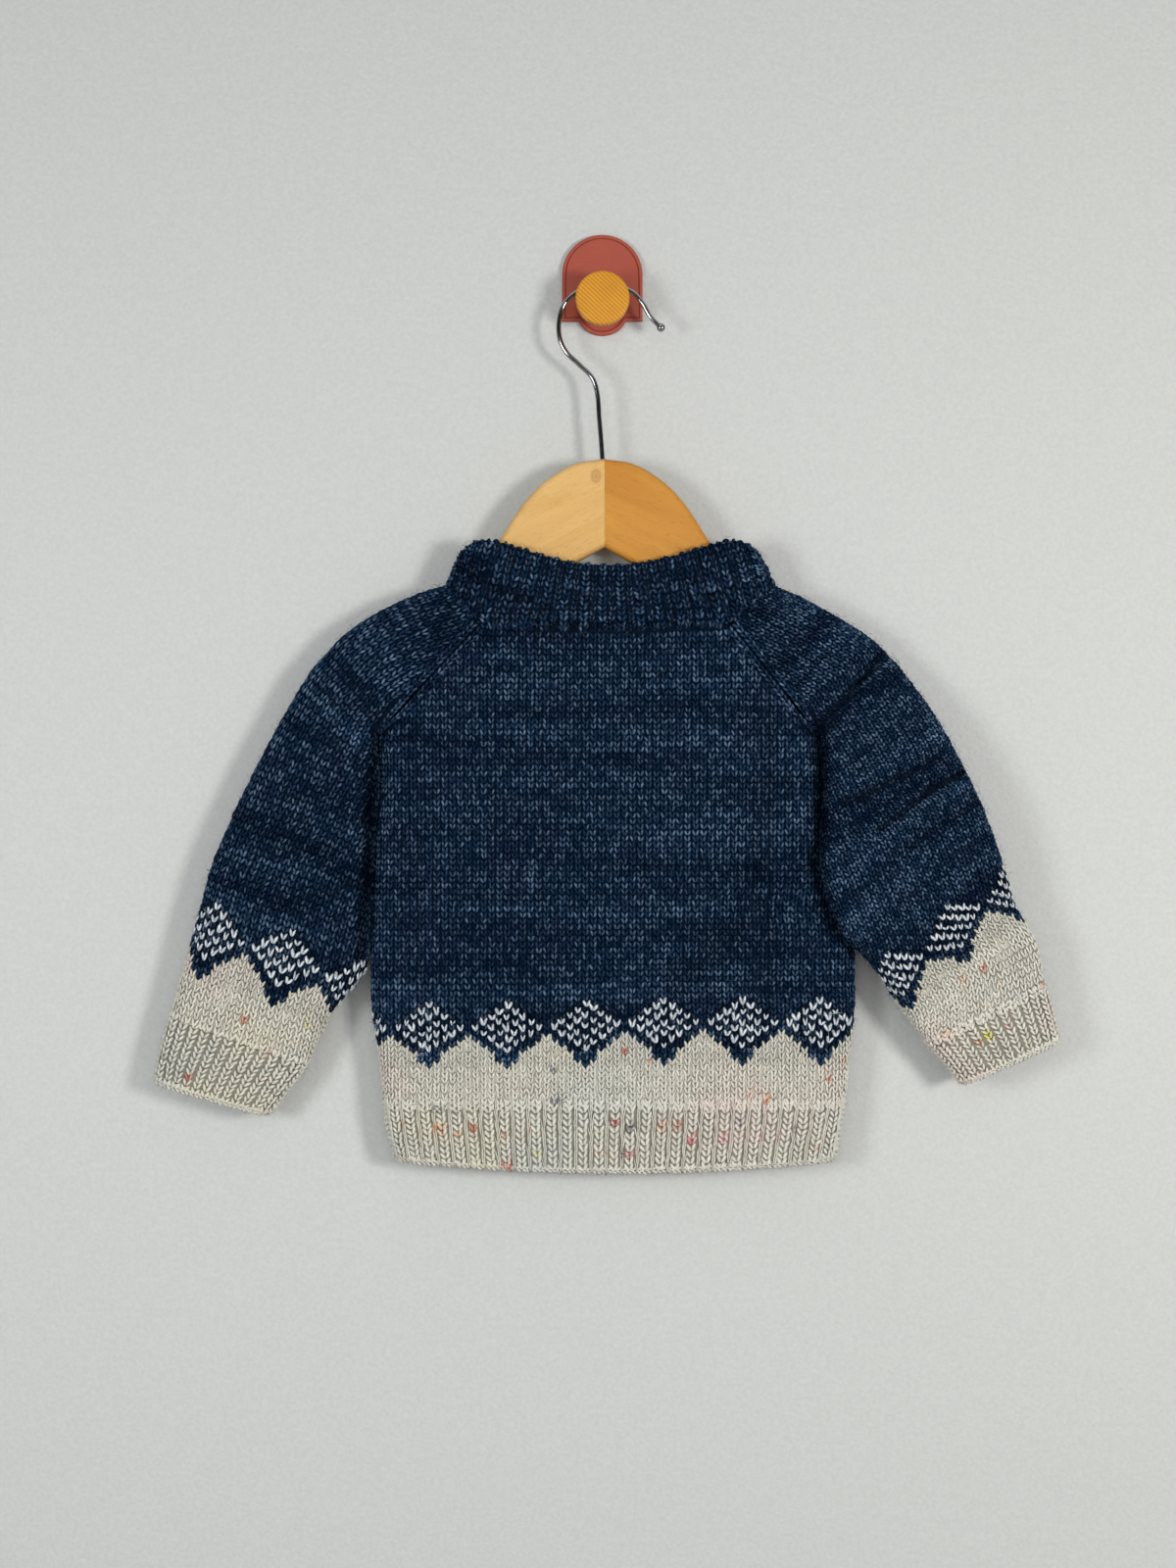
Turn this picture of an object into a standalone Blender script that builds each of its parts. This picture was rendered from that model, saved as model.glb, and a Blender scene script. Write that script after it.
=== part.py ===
"""A baby's raglan sweater in hand knit, on a child's wooden hanger and a wall hook.

The wall is the plane y = 0 and the object hangs in front of it, in -y, with the sweater's back
outwards. The origin is on the wall, on the axis of the knob. Left and right are the viewer's.
Lengths below are millimetres; MM turns them into metres.
"""

import math
from collections import namedtuple

import bmesh
import bpy
import numpy as np
from mathutils import Matrix

MM = 0.001

# Cloth
CLOTH = 2.6  # thickness of the knitted wall
SEAM = 0.3  # gap between neighbouring pieces
FOLD_REACH = 24.0  # how far in from a folded side edge the cloth lies flat
SLEEVE_FOLD_REACH = 20.0
YOKE_ROUNDING = 30.0  # height above the underarm over which the raglan line sinks into the fold
BACK_NECK_DIP = 2.0
FRONT_NECK_DIP = 16.0
FRONT_YOKE_SHARE = 0.78  # height of the front raglan line, as a share of the back's

# Grid of the faceted cloth
FOLD_STEPS = 3
BODY_STEPS = 11
SLEEVE_STEPS = 3
YOKE_SPANS = 5
SIDE_SPANS = 9
SLEEVE_SPANS = 10
RIB_SPANS = 2

# Rows of the body from the neck to the underarm, where its sides are the back's raglan lines
BodyRow = namedtuple("BodyRow", "z left right centre_y half_depth")
YOKE_ROWS = (
    BodyRow(-173.2, -65.0, 67.5, -17.4, 12.6),
    BodyRow(-188.0, -79.0, 79.5, -17.4, 12.6),
    BodyRow(-202.5, -92.5, 91.0, -17.3, 12.4),
    BodyRow(-217.0, -106.0, 102.5, -17.2, 12.2),
    BodyRow(-231.5, -119.0, 113.5, -17.0, 11.8),
)
# and from the underarm to the top of the hem rib, where its sides are folded edges
SIDE_ROWS = (
    YOKE_ROWS[-1],
    BodyRow(-257.0, -118.0, 118.5, -16.6, 10.6),
    BodyRow(-294.0, -121.0, 124.0, -16.2, 9.6),
    BodyRow(-330.0, -123.0, 133.0, -15.8, 9.2),
    BodyRow(-361.0, -124.0, 135.5, -15.5, 9.2),
    BodyRow(-388.0, -122.0, 133.5, -15.2, 9.4),
    BodyRow(-411.0, -118.5, 131.5, -15.0, 9.6),
    BodyRow(-428.0, -117.0, 129.5, -15.0, 9.6),
)
HEM_ROWS = (
    SIDE_ROWS[-1],
    BodyRow(-442.0, -115.0, 127.5, -15.0, 9.4),
    BodyRow(-456.0, -111.5, 125.5, -15.0, 9.2),
)
HEM_SAG = 6.5  # how far the hem hangs lower in the middle than at its corners

# Outer edge of each sleeve cap, at the yoke's rows
CapRow = namedtuple("CapRow", "outer_x outer_z")
LEFT_CAP = (
    CapRow(-84.0, -151.5),
    CapRow(-98.0, -156.0),
    CapRow(-116.0, -164.0),
    CapRow(-136.5, -177.0),
    CapRow(-155.0, -196.5),
)
RIGHT_CAP = (
    CapRow(92.0, -152.0),
    CapRow(106.0, -158.0),
    CapRow(124.5, -168.0),
    CapRow(142.5, -179.5),
    CapRow(157.5, -194.0),
)
# Sleeve rows from below the underarm to the top of the cuff, across the sleeve
SleeveRow = namedtuple("SleeveRow", "outer_x outer_z inner_x inner_z centre_y half_depth")
LEFT_SLEEVE = (
    SleeveRow(-169.0, -219.5, -119.3, -251.5, -17.0, 10.8),
    SleeveRow(-183.5, -246.5, -120.6, -273.0, -17.0, 10.6),
    SleeveRow(-196.5, -273.0, -122.6, -300.0, -17.0, 10.6),
    SleeveRow(-208.0, -300.5, -124.3, -329.0, -17.0, 10.8),
    SleeveRow(-214.5, -324.0, -127.5, -355.0, -17.0, 11.0),
    SleeveRow(-222.0, -350.0, -142.5, -378.5, -16.6, 10.8),
    SleeveRow(-230.5, -381.0, -157.0, -407.0, -16.2, 10.0),
)
LEFT_CUFF = (
    LEFT_SLEEVE[-1],
    SleeveRow(-235.5, -398.5, -167.0, -420.5, -16.0, 9.6),
    SleeveRow(-239.0, -415.0, -176.5, -433.0, -15.8, 9.4),
)
RIGHT_SLEEVE = (
    SleeveRow(174.5, -218.5, 118.5, -255.0, -24.5, 9.8),
    SleeveRow(188.5, -244.5, 115.0, -281.5, -29.0, 9.4),
    SleeveRow(200.0, -269.0, 115.5, -307.5, -30.5, 9.4),
    SleeveRow(209.5, -294.0, 125.5, -335.5, -29.0, 9.8),
    SleeveRow(218.0, -320.5, 142.0, -353.5, -26.5, 10.2),
    SleeveRow(229.5, -340.5, 156.5, -375.0, -24.5, 10.2),
    SleeveRow(235.0, -363.5, 171.5, -394.5, -23.0, 9.6),
)
RIGHT_CUFF = (
    RIGHT_SLEEVE[-1],
    SleeveRow(239.0, -378.5, 181.0, -405.5, -22.2, 9.2),
    SleeveRow(242.5, -392.5, 189.5, -416.0, -21.6, 9.0),
)

# Largest folds: straight troughs pressed into the cloth, or ridges where the depth is negative
Fold = namedtuple("Fold", "side x0 z0 x1 z1 half_width depth")
FOLDS = (
    Fold("back", 86, -205, 84, -365, 10, 2.2),
    Fold("back", 104, -225, 108, -350, 8, -1.2),
    Fold("back", 84, -330, 40, -362, 9, 1.6),
    Fold("back", -55, -255, -52, -305, 8, 1.0),
    Fold("back", 146, -200, 122, -225, 5, 2.2),
    Fold("back", 136, -190, 122, -208, 4, 1.2),
    Fold("back", 186, -240, 130, -275, 7, 2.4),
    Fold("back", 194, -252, 138, -290, 6, 1.8),
    Fold("back", -140, -200, -122, -222, 6, 1.8),
    Fold("back", -185, -262, -140, -285, 7, 1.2),
    Fold("front", -70, -225, -78, -360, 11, 1.8),
    Fold("front", 60, -240, 52, -330, 10, 1.6),
    Fold("front", 176, -238, 134, -268, 7, 1.8),
    Fold("front", -178, -240, -136, -266, 7, 1.8),
)

# Neckband: its top edge leans in over the hanger
BAND_LEAN = 0.86  # width of the top edge, as a share of the neckline's
BAND_CENTRE_X = 3.5
BAND_TOP_Y = -16.6
BAND_BACK_TOP_Z = -140.6
BAND_PEAK_RISE = 15.6  # how far the top edge rises towards the shoulders
BAND_SIDE_TOP_Z = -131.0
BAND_FRONT_TOP_Z = -172.0
BAND_BULGE = 1.4
BAND_THICKNESS = 4.6
BAND_SEAM = 0.5  # gap along the band, which leaves the edge at a slant

# Hanger: distance out from its centre, and drop below the crown of the wood
HANGER_X = 0.8
MITRE_X = 1.1
CROWN_Z = -84.4
ARM_THICKNESS = 11.0
ARM_EDGE = 3.5
ARM_Y = -16.0
ARM_SWEEP = 0.015  # the arms come forward, away from the wall, towards their ends
ArmPoint = namedtuple("ArmPoint", "out drop")
ARM_TOP = (
    ArmPoint(0, 0),
    ArmPoint(16, 2.8),
    ArmPoint(30.5, 11.3),
    ArmPoint(40.5, 21),
    ArmPoint(47.5, 30.5),
    ArmPoint(53.5, 40),
    ArmPoint(63.5, 54),
    ArmPoint(84, 73.5),
    ArmPoint(118, 87.5),
    ArmPoint(136, 100.9),
    ArmPoint(142, 110),
)
ARM_BOTTOM = (
    ArmPoint(142, 110),
    ArmPoint(134, 116.5),
    ArmPoint(105, 103.5),
    ArmPoint(60, 81.5),
    ArmPoint(24, 60.5),
    ArmPoint(0, 47),
)
ARM_POINT_STEPS = 2

# Wire hook: centre line, up from the wood and over the stem
WIRE_RADIUS = 1.3
WIRE_Y = ARM_Y
WIRE_POINT_STEPS = 3
WIRE_TIP_RADIUS = 2.3
WirePoint = namedtuple("WirePoint", "x z")
WIRE = (
    WirePoint(0.0, -84.1),
    WirePoint(-0.8, -73.0),
    WirePoint(-1.8, -61.0),
    WirePoint(-2.6, -50.0),
    WirePoint(-5.4, -40.8),
    WirePoint(-12.4, -33.8),
    WirePoint(-19.4, -27.0),
    WirePoint(-22.9, -19.0),
    WirePoint(-23.1, -10.5),
    WirePoint(-20.6, -2.0),
    WirePoint(-13.6, 5.0),
    WirePoint(0.0, 10.7),
    WirePoint(14.6, 5.8),
    WirePoint(21.2, -0.8),
    WirePoint(25.6, -8.2),
    WirePoint(31.2, -14.0),
)

# Wall hook
PLATE_HALF_WIDTH = 21.7
PLATE_ARCH_Z = 17.1
PLATE_FOOT_Z = -7.7
PLATE_LOBE_RADIUS = 14.4
PLATE_LOBE_Z = -1.0
PLATE_THICKNESS = 3.0
PLATE_EDGE = 0.8
STEM_RADIUS = 8.8
KNOB_RADIUS = 14.3
KNOB_BACK = 20.0  # distance of the knob's back from the wall
KNOB_FRONT = 26.0
KNOB_EDGE = 1.2
TURNED_STEPS = 28

Paint = namedtuple("Paint", "colour roughness metallic")
NAVY_KNIT = Paint((0.016, 0.030, 0.075), 0.95, 0.0)
CREAM_KNIT = Paint((0.60, 0.56, 0.48), 0.95, 0.0)
VARNISHED_WOOD = Paint((0.66, 0.40, 0.13), 0.40, 0.0)
CHROME_WIRE = Paint((0.60, 0.60, 0.60), 0.20, 1.0)
TERRACOTTA = Paint((0.53, 0.12, 0.09), 0.45, 0.0)
MUSTARD = Paint((0.75, 0.36, 0.03), 0.50, 0.0)


def clear_scene():
    for thing in list(bpy.data.objects):
        bpy.data.objects.remove(thing)


def material(name, paint):
    """The material of that name, made the first time it is asked for."""
    made = bpy.data.materials.get(name)
    if made:
        return made
    made = bpy.data.materials.new(name)
    made.use_nodes = True
    shader = made.node_tree.nodes["Principled BSDF"]
    shader.inputs["Base Color"].default_value = (*paint.colour, 1)
    shader.inputs["Roughness"].default_value = paint.roughness
    shader.inputs["Metallic"].default_value = paint.metallic
    made.diffuse_color = (*paint.colour, 1)
    return made


def add_object(name, data, collection, look):
    thing = bpy.data.objects.new(name, data)
    thing.data.materials.append(look)
    collection.objects.link(thing)
    return thing


def smooth_row(rows, at):
    """The row at a place between 0 and 1 along the table, on a smooth curve through its rows."""
    place = at * (len(rows) - 1)
    index = min(int(place), len(rows) - 2)
    t = place - index
    table = np.array(rows, float)
    before = table[index - 1] if index else 2 * table[0] - table[1]
    start, end = table[index], table[index + 1]
    after = table[index + 2] if index + 2 < len(rows) else 2 * end - start
    curve = (
        start
        + 0.5 * t * (end - before)
        + t**2 * (before - 2.5 * start + 2 * end - 0.5 * after)
        + 0.5 * t**3 * (3 * start - 3 * end + after - before)
    )
    return type(rows[0])(*curve)


def spread(rows, spans):
    """That many rows and one, evenly along the table."""
    return [smooth_row(rows, step / spans) for step in range(spans + 1)]


def sink_angle(z, underarm_z):
    """How far round its fold the cloth is at the raglan line: 0 at the underarm, a right angle above."""
    return min(1.0, (z - underarm_z) / YOKE_ROUNDING) * math.pi / 2


def press(side, x, z):
    """Depth of the folds at a place on that side of the garment."""
    total = 0.0
    for fold in FOLDS:
        if fold.side != side:
            continue
        run = np.array((fold.x1 - fold.x0, fold.z1 - fold.z0))
        offset = np.array((x - fold.x0, z - fold.z0))
        along = float(offset @ run / (run @ run))
        across = math.hypot(*(offset - min(1.0, max(0.0, along)) * run))
        total += fold.depth * math.exp(-((across / fold.half_width) ** 2))
    return total


# A section runs from a start to an end point in the garment's plane. At each end it turns round a fold,
# from the angle that its seam reaches to a right angle, where the cloth lies flat.
End = namedtuple("End", "x z angle reach")


def section(start, end, centre_y, half_depth, side, flat_steps, inset=0.0):
    """Points across one side of a tube, inset from its outer surface along the normal."""
    run = np.array((end.x - start.x, end.z - start.z))
    length = math.hypot(*run)
    run /= length
    sign = -1 if side == "back" else 1
    origin = np.array((start.x, start.z))
    first = -start.reach * (1 - math.cos(start.angle))
    last = length + end.reach * (1 - math.cos(end.angle))
    places = []
    for step in range(FOLD_STEPS):
        angle = start.angle + (math.pi / 2 - start.angle) * step / FOLD_STEPS
        across = first + inset + (start.reach - inset) * (1 - math.cos(angle))
        places.append((across, math.sin(angle)))
    for step in range(flat_steps + 1):
        share = step / flat_steps
        across = (first + start.reach) * (1 - share) + (last - end.reach) * share
        places.append((across, 1.0))
    for step in range(1, FOLD_STEPS + 1):
        angle = math.pi / 2 + (end.angle - math.pi / 2) * step / FOLD_STEPS
        across = last - inset - (end.reach - inset) * (1 - math.cos(angle))
        places.append((across, math.sin(angle)))
    points = []
    for across, height in places:
        x, z = origin + run * across
        depth = (half_depth - inset - press(side, x, z)) * height
        points.append((x, centre_y + sign * depth, z))
    return points


def body_section(row, side, inset, angle=0.0, dip=0.0):
    """Across the body at one row, with its edges at the raglan lines or the side folds."""
    start = End(row.left, row.z, angle, FOLD_REACH)
    end = End(row.right, row.z, angle, FOLD_REACH)
    points = section(start, end, row.centre_y, row.half_depth, side, BODY_STEPS, inset)
    middle = (row.left + row.right) / 2
    half_width = (row.right - row.left) / 2
    dipped = []
    for x, y, z in points:
        share = max(0.0, 1 - ((x - middle) / half_width) ** 2)
        dipped.append((x, y, z - dip * share))
    return dipped


def yoke_row(row, side):
    """The row of the yoke on that side: the front's raglan lines are shorter than the back's."""
    if side == "back":
        return row
    underarm_z = YOKE_ROWS[-1].z
    return row._replace(z=underarm_z + FRONT_YOKE_SHARE * (row.z - underarm_z))


def yoke_sections(side, inset, edge_gap):
    underarm_z = YOKE_ROWS[-1].z
    neck_dip = BACK_NECK_DIP if side == "back" else FRONT_NECK_DIP
    sections = []
    for place, row in enumerate(spread(YOKE_ROWS, YOKE_SPANS)):
        row = yoke_row(row, side)
        narrowed = row._replace(left=row.left + edge_gap, right=row.right - edge_gap)
        dip = neck_dip * (1 - place / YOKE_SPANS)
        sections.append(body_section(narrowed, side, inset, sink_angle(row.z, underarm_z), dip))
    return sections


def body_layer(side, inset):
    """All sections of the back or the front, from the neck to the hem rib."""
    sections = yoke_sections(side, inset, SEAM / 2)
    for row in spread(SIDE_ROWS, SIDE_SPANS)[1:]:
        sections.append(body_section(row, side, inset))
    sign = -1 if side == "back" else 1
    return [[(x, y + sign * SEAM / 2, z) for x, y, z in points] for points in sections]


def sleeve_section(row, inset, angle=0.0, front_inner=None):
    """Round one sleeve: up its back from the inner edge, over the outer edge, and down its front."""
    outer = End(row.outer_x, row.outer_z, 0.0, SLEEVE_FOLD_REACH)
    back_inner = End(row.inner_x, row.inner_z, angle, SLEEVE_FOLD_REACH)
    front_inner = front_inner or back_inner
    back = section(back_inner, outer, row.centre_y, row.half_depth, "back", SLEEVE_STEPS, inset)
    front = section(front_inner, outer, row.centre_y, row.half_depth, "front", SLEEVE_STEPS, inset)
    return back + front[-2::-1]


def cap_sections(cap, edge, inset):
    """The sleeve's open sections from the neck to just above the underarm."""
    underarm_z = YOKE_ROWS[-1].z
    outward = -1 if edge == "left" else 1
    rows = spread(YOKE_ROWS, YOKE_SPANS)
    outers = spread(cap, YOKE_SPANS)
    sections = []
    for row, outer in zip(rows[:-1], outers[:-1]):
        front = yoke_row(row, "front")
        seam_x = getattr(row, edge) + outward * SEAM / 2
        front_angle = sink_angle(front.z, underarm_z)
        front_inner = End(seam_x, front.z, front_angle, SLEEVE_FOLD_REACH)
        across = SleeveRow(*outer, seam_x, row.z, row.centre_y, row.half_depth)
        back_angle = sink_angle(row.z, underarm_z)
        sections.append(sleeve_section(across, inset, back_angle, front_inner))
    return sections


def sleeve_layer(cap, sleeve, edge, inset):
    """Open sections of the cap, then closed ones down to the cuff."""
    outward = -1 if edge == "left" else 1
    underarm = YOKE_ROWS[-1]
    seam_x = getattr(underarm, edge) + outward * SEAM
    first = SleeveRow(*cap[-1], seam_x, underarm.z, underarm.centre_y, underarm.half_depth)
    closed = [sleeve_section(row, inset) for row in spread((first, *sleeve), SLEEVE_SPANS)]
    return cap_sections(cap, edge, inset), closed


def tube_section(row, inset, dip):
    """All round the body at one row."""
    back = body_section(row, "back", inset, dip=dip)
    front = body_section(row, "front", inset, dip=dip)
    return back + front[-2:0:-1]


def ring_wall(name, outer, inner, collection, look):
    """A closed tube wall between two layers of closed sections."""
    rows = outer + inner[::-1]
    return lofted(name, rows, collection, look, round_again=True)


def lofted(name, rows, collection, look, round_again=False):
    """A skin over closed rows of equal length; round_again also joins the last row to the first."""
    mesh = bpy.data.meshes.new(name)
    shape = bmesh.new()
    grid = [[shape.verts.new(np.array(point) * MM) for point in row] for row in rows]
    pairs = list(zip(grid, grid[1:] + ([grid[0]] if round_again else [])))
    for row, below in pairs[: None if round_again else len(grid) - 1]:
        for index in range(len(row)):
            after = (index + 1) % len(row)
            shape.faces.new((row[index], row[after], below[after], below[index]))
    return finished(name, mesh, shape, collection, look)


def finished(name, mesh, shape, collection, look):
    """The bmesh as an object, welded, closed and facing out."""
    bmesh.ops.remove_doubles(shape, verts=shape.verts, dist=0.00002)
    bmesh.ops.recalc_face_normals(shape, faces=shape.faces)
    if shape.calc_volume(signed=True) < 0:
        bmesh.ops.reverse_faces(shape, faces=shape.faces)
    shape.to_mesh(mesh)
    shape.free()
    mesh.shade_smooth()
    mesh.set_sharp_from_angle(angle=math.radians(50))
    return add_object(name, mesh, collection, look)


def panel_wall(name, outer, inner, collection, look):
    """A sheet between two layers of open sections, closed by a rim along all its edges."""
    rows = [list(front) + list(behind)[::-1] for front, behind in zip(outer, inner)]
    mesh = bpy.data.meshes.new(name)
    shape = bmesh.new()
    grid = [[shape.verts.new(np.array(point) * MM) for point in row] for row in rows]
    count = len(grid[0])
    for row, below in zip(grid, grid[1:]):
        for index in range(count):
            after = (index + 1) % count
            shape.faces.new((row[index], row[after], below[after], below[index]))
    for row in (grid[0], grid[-1]):
        for index in range(count // 2 - 1):
            mirrored = count - 1 - index
            shape.faces.new((row[index], row[index + 1], row[mirrored - 1], row[mirrored]))
    return finished(name, mesh, shape, collection, look)


def sleeve_wall(name, cap, sleeve, edge, collection, look):
    """The cap as an open sheet and the sleeve as a tube, in one wall."""
    layers = [sleeve_layer(cap, sleeve, edge, inset) for inset in (0.0, CLOTH)]
    mesh = bpy.data.meshes.new(name)
    shape = bmesh.new()
    grids = []
    for open_rows, closed_rows in layers:
        rows = open_rows + closed_rows
        grids.append([[shape.verts.new(np.array(p) * MM) for p in row] for row in rows])
    for grid in grids:
        for row, below in zip(grid, grid[1:]):
            for index in range(len(row) - 1):
                shape.faces.new((row[index], row[index + 1], below[index + 1], below[index]))
    outer, inner = grids
    for top, under in ((outer[0], inner[0]), (outer[-1], inner[-1])):
        for index in range(len(top) - 1):
            shape.faces.new((top[index], top[index + 1], under[index + 1], under[index]))
    for column in (0, -1):
        for row in range(len(layers[0][0])):
            corners = (outer[row], outer[row + 1], inner[row + 1], inner[row])
            shape.faces.new([corner[column] for corner in corners])
    return finished(name, mesh, shape, collection, look)


def neckline(inset):
    """The garment's neck edge, all round: back, right shoulder, front, left shoulder."""
    back = yoke_sections("back", inset, 0.0)[0]
    front = yoke_sections("front", inset, 0.0)[0]
    right = cap_sections(RIGHT_CAP, "right", inset)[0]
    left = cap_sections(LEFT_CAP, "left", inset)[0]
    return back[:-1] + right[:-1] + front[:0:-1] + left[:0:-1]


def band_top(point):
    """Where the neckband's top edge is above a point of the neckline."""
    x, y, _ = point
    width = (YOKE_ROWS[0].right - YOKE_ROWS[0].left) / 2 + 22
    out = min(1.0, abs(x - BAND_CENTRE_X) / width)
    behind = (BAND_TOP_Y - y) / YOKE_ROWS[0].half_depth
    share = min(1.0, max(0.0, (1 + behind) / 2))
    share = share * share * (3 - 2 * share)
    back_z = BAND_BACK_TOP_Z + BAND_PEAK_RISE * out**2.4 * (3 - 2 * out)
    front_z = BAND_FRONT_TOP_Z + (BAND_SIDE_TOP_Z - BAND_FRONT_TOP_Z) * out**2.5
    top_z = front_z + (back_z - front_z) * share
    top_z += (BAND_SIDE_TOP_Z - top_z) * out**10
    top_x = BAND_CENTRE_X + (x - BAND_CENTRE_X) * BAND_LEAN
    top_y = BAND_TOP_Y + (y - BAND_TOP_Y) * 0.9
    return np.array((top_x, top_y, top_z))


def neckband(collection, look):
    """Doubled ribbing that stands on the neckline and leans in to a rounded top edge."""
    outer = [np.array(point) for point in neckline(0.0)]
    inner = [np.array(point) for point in neckline(CLOTH)]
    rows = [[] for _ in range(8)]
    for base, behind in zip(outer, inner):
        top = band_top(base)
        up = (top - base) / np.linalg.norm(top - base)
        out = (base - behind) / np.linalg.norm(base - behind)
        out -= up * (out @ up)
        out /= np.linalg.norm(out)
        foot = base + up * BAND_SEAM
        height = np.linalg.norm(top - foot)
        thick = BAND_THICKNESS - BAND_BULGE
        stations = (
            (0.0, 0.0),
            (0.18 * height, BAND_BULGE),
            (0.7 * height, BAND_BULGE),
            (height - 1.5, 0.6),
            (height, -BAND_THICKNESS / 2 + 0.6),
            (height - 1.5, -thick),
            (0.2 * height, -thick),
            (0.0, -CLOTH),
        )
        for row, (along, away) in zip(rows, stations):
            row.append(foot + up * along + out * away)
    return lofted("neckband", rows, collection, look, round_again=True)


def hanger_arm(name, direction, collection, look):
    """One wooden arm, cut from a board with rounded edges and swept forward by a shear."""
    top = spread(ARM_TOP, ARM_POINT_STEPS * (len(ARM_TOP) - 1))
    bottom = spread(ARM_BOTTOM, ARM_POINT_STEPS * (len(ARM_BOTTOM) - 1))
    outline = top + bottom[1:]
    shape = bmesh.new()
    corners = []
    mitre = MITRE_X + direction * SEAM / 2
    for point in outline:
        x = HANGER_X + direction * point.out if point.out > 0 else mitre
        corners.append(shape.verts.new((x * MM, -ARM_THICKNESS / 2 * MM, (CROWN_Z - point.drop) * MM)))
    board = shape.faces.new(corners)
    grown = bmesh.ops.extrude_face_region(shape, geom=[board])
    moved = [item for item in grown["geom"] if isinstance(item, bmesh.types.BMVert)]
    bmesh.ops.translate(shape, verts=moved, vec=(0, ARM_THICKNESS * MM, 0))
    rounded = [edge for edge in shape.edges if is_long_edge(edge, mitre * MM)]
    bmesh.ops.bevel(
        shape, geom=rounded, offset=ARM_EDGE * MM, segments=2, affect="EDGES", profile=0.5
    )
    lean = Matrix.Identity(4)
    lean[1][0] = -ARM_SWEEP * direction
    lean[1][3] = ARM_Y * MM + ARM_SWEEP * direction * MITRE_X * MM
    bmesh.ops.transform(shape, matrix=lean, verts=shape.verts)
    return finished(name, bpy.data.meshes.new(name), shape, collection, look)


def is_long_edge(edge, mitre):
    """Whether an edge runs along a face of the board, away from the mitre."""
    first, second = (vertex.co for vertex in edge.verts)
    across = abs(first.y - second.y) > 1e-6
    at_mitre = abs(first.x - mitre) < 1e-6 and abs(second.x - mitre) < 1e-6
    return not across and not at_mitre


def hanger_hook(collection, look):
    """Bent wire with a rounded tip, as one mesh."""
    path = spread(WIRE, WIRE_POINT_STEPS * (len(WIRE) - 1))
    curve = bpy.data.curves.new("hook wire", "CURVE")
    curve.dimensions = "3D"
    curve.bevel_depth = WIRE_RADIUS * MM
    curve.bevel_resolution = 2
    curve.use_fill_caps = True
    spline = curve.splines.new("POLY")
    spline.points.add(len(path) - 1)
    for target, point in zip(spline.points, path):
        target.co = (point.x * MM, WIRE_Y * MM, point.z * MM, 1)
    wire = bpy.data.objects.new("hook wire", curve)
    collection.objects.link(wire)
    mesh = bpy.data.meshes.new_from_object(wire.evaluated_get(bpy.context.evaluated_depsgraph_get()))
    bpy.data.objects.remove(wire)
    shape = bmesh.new()
    shape.from_mesh(mesh)
    hook = finished("hanger_hook", mesh, shape, collection, look)
    tip = bmesh.new()
    place = Matrix.Translation((path[-1].x * MM, WIRE_Y * MM, path[-1].z * MM))
    bmesh.ops.create_uvsphere(
        tip, u_segments=12, v_segments=8, radius=WIRE_TIP_RADIUS * MM, matrix=place
    )
    ball = bpy.data.meshes.new("hook tip")
    tip.to_mesh(ball)
    tip.free()
    cutter = bpy.data.objects.new("hook tip", ball)
    cutter.hide_render = True
    cutter.display_type = "WIRE"
    cutters = bpy.data.collections.new("joined shapes")
    bpy.context.scene.collection.children.link(cutters)
    cutters.objects.link(cutter)
    union = hook.modifiers.new("Tip", "BOOLEAN")
    union.operation = "UNION"
    union.solver = "EXACT"
    union.object = cutter
    return hook


def plate_outline():
    """Arched top, straight sides, and a round lobe below a flat foot."""
    points = []
    for step in range(17):
        angle = math.pi * step / 16
        points.append((PLATE_HALF_WIDTH * math.cos(angle), PLATE_ARCH_Z + PLATE_HALF_WIDTH * math.sin(angle)))
    points.append((-PLATE_HALF_WIDTH, PLATE_FOOT_Z))
    start = math.asin((PLATE_FOOT_Z - PLATE_LOBE_Z) / PLATE_LOBE_RADIUS)
    for step in range(11):
        angle = math.pi - start + (math.pi + 2 * start) * step / 10
        x = PLATE_LOBE_RADIUS * math.cos(angle)
        points.append((x, PLATE_LOBE_Z + PLATE_LOBE_RADIUS * math.sin(angle)))
    points.append((PLATE_HALF_WIDTH, PLATE_FOOT_Z))
    return points


def wall_plate(collection, look):
    """Flat plate on the wall, its front edge rounded."""
    shape = bmesh.new()
    corners = [shape.verts.new((x * MM, 0, z * MM)) for x, z in plate_outline()]
    back = shape.faces.new(corners)
    grown = bmesh.ops.extrude_face_region(shape, geom=[back])
    moved = [item for item in grown["geom"] if isinstance(item, bmesh.types.BMVert)]
    bmesh.ops.translate(shape, verts=moved, vec=(0, -PLATE_THICKNESS * MM, 0))
    front = [edge for edge in shape.edges if all(v.co.y < -PLATE_EDGE * MM for v in edge.verts)]
    bmesh.ops.bevel(shape, geom=front, offset=PLATE_EDGE * MM, segments=2, affect="EDGES", profile=0.5)
    return finished("wall_plate", bpy.data.meshes.new("wall_plate"), shape, collection, look)


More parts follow.
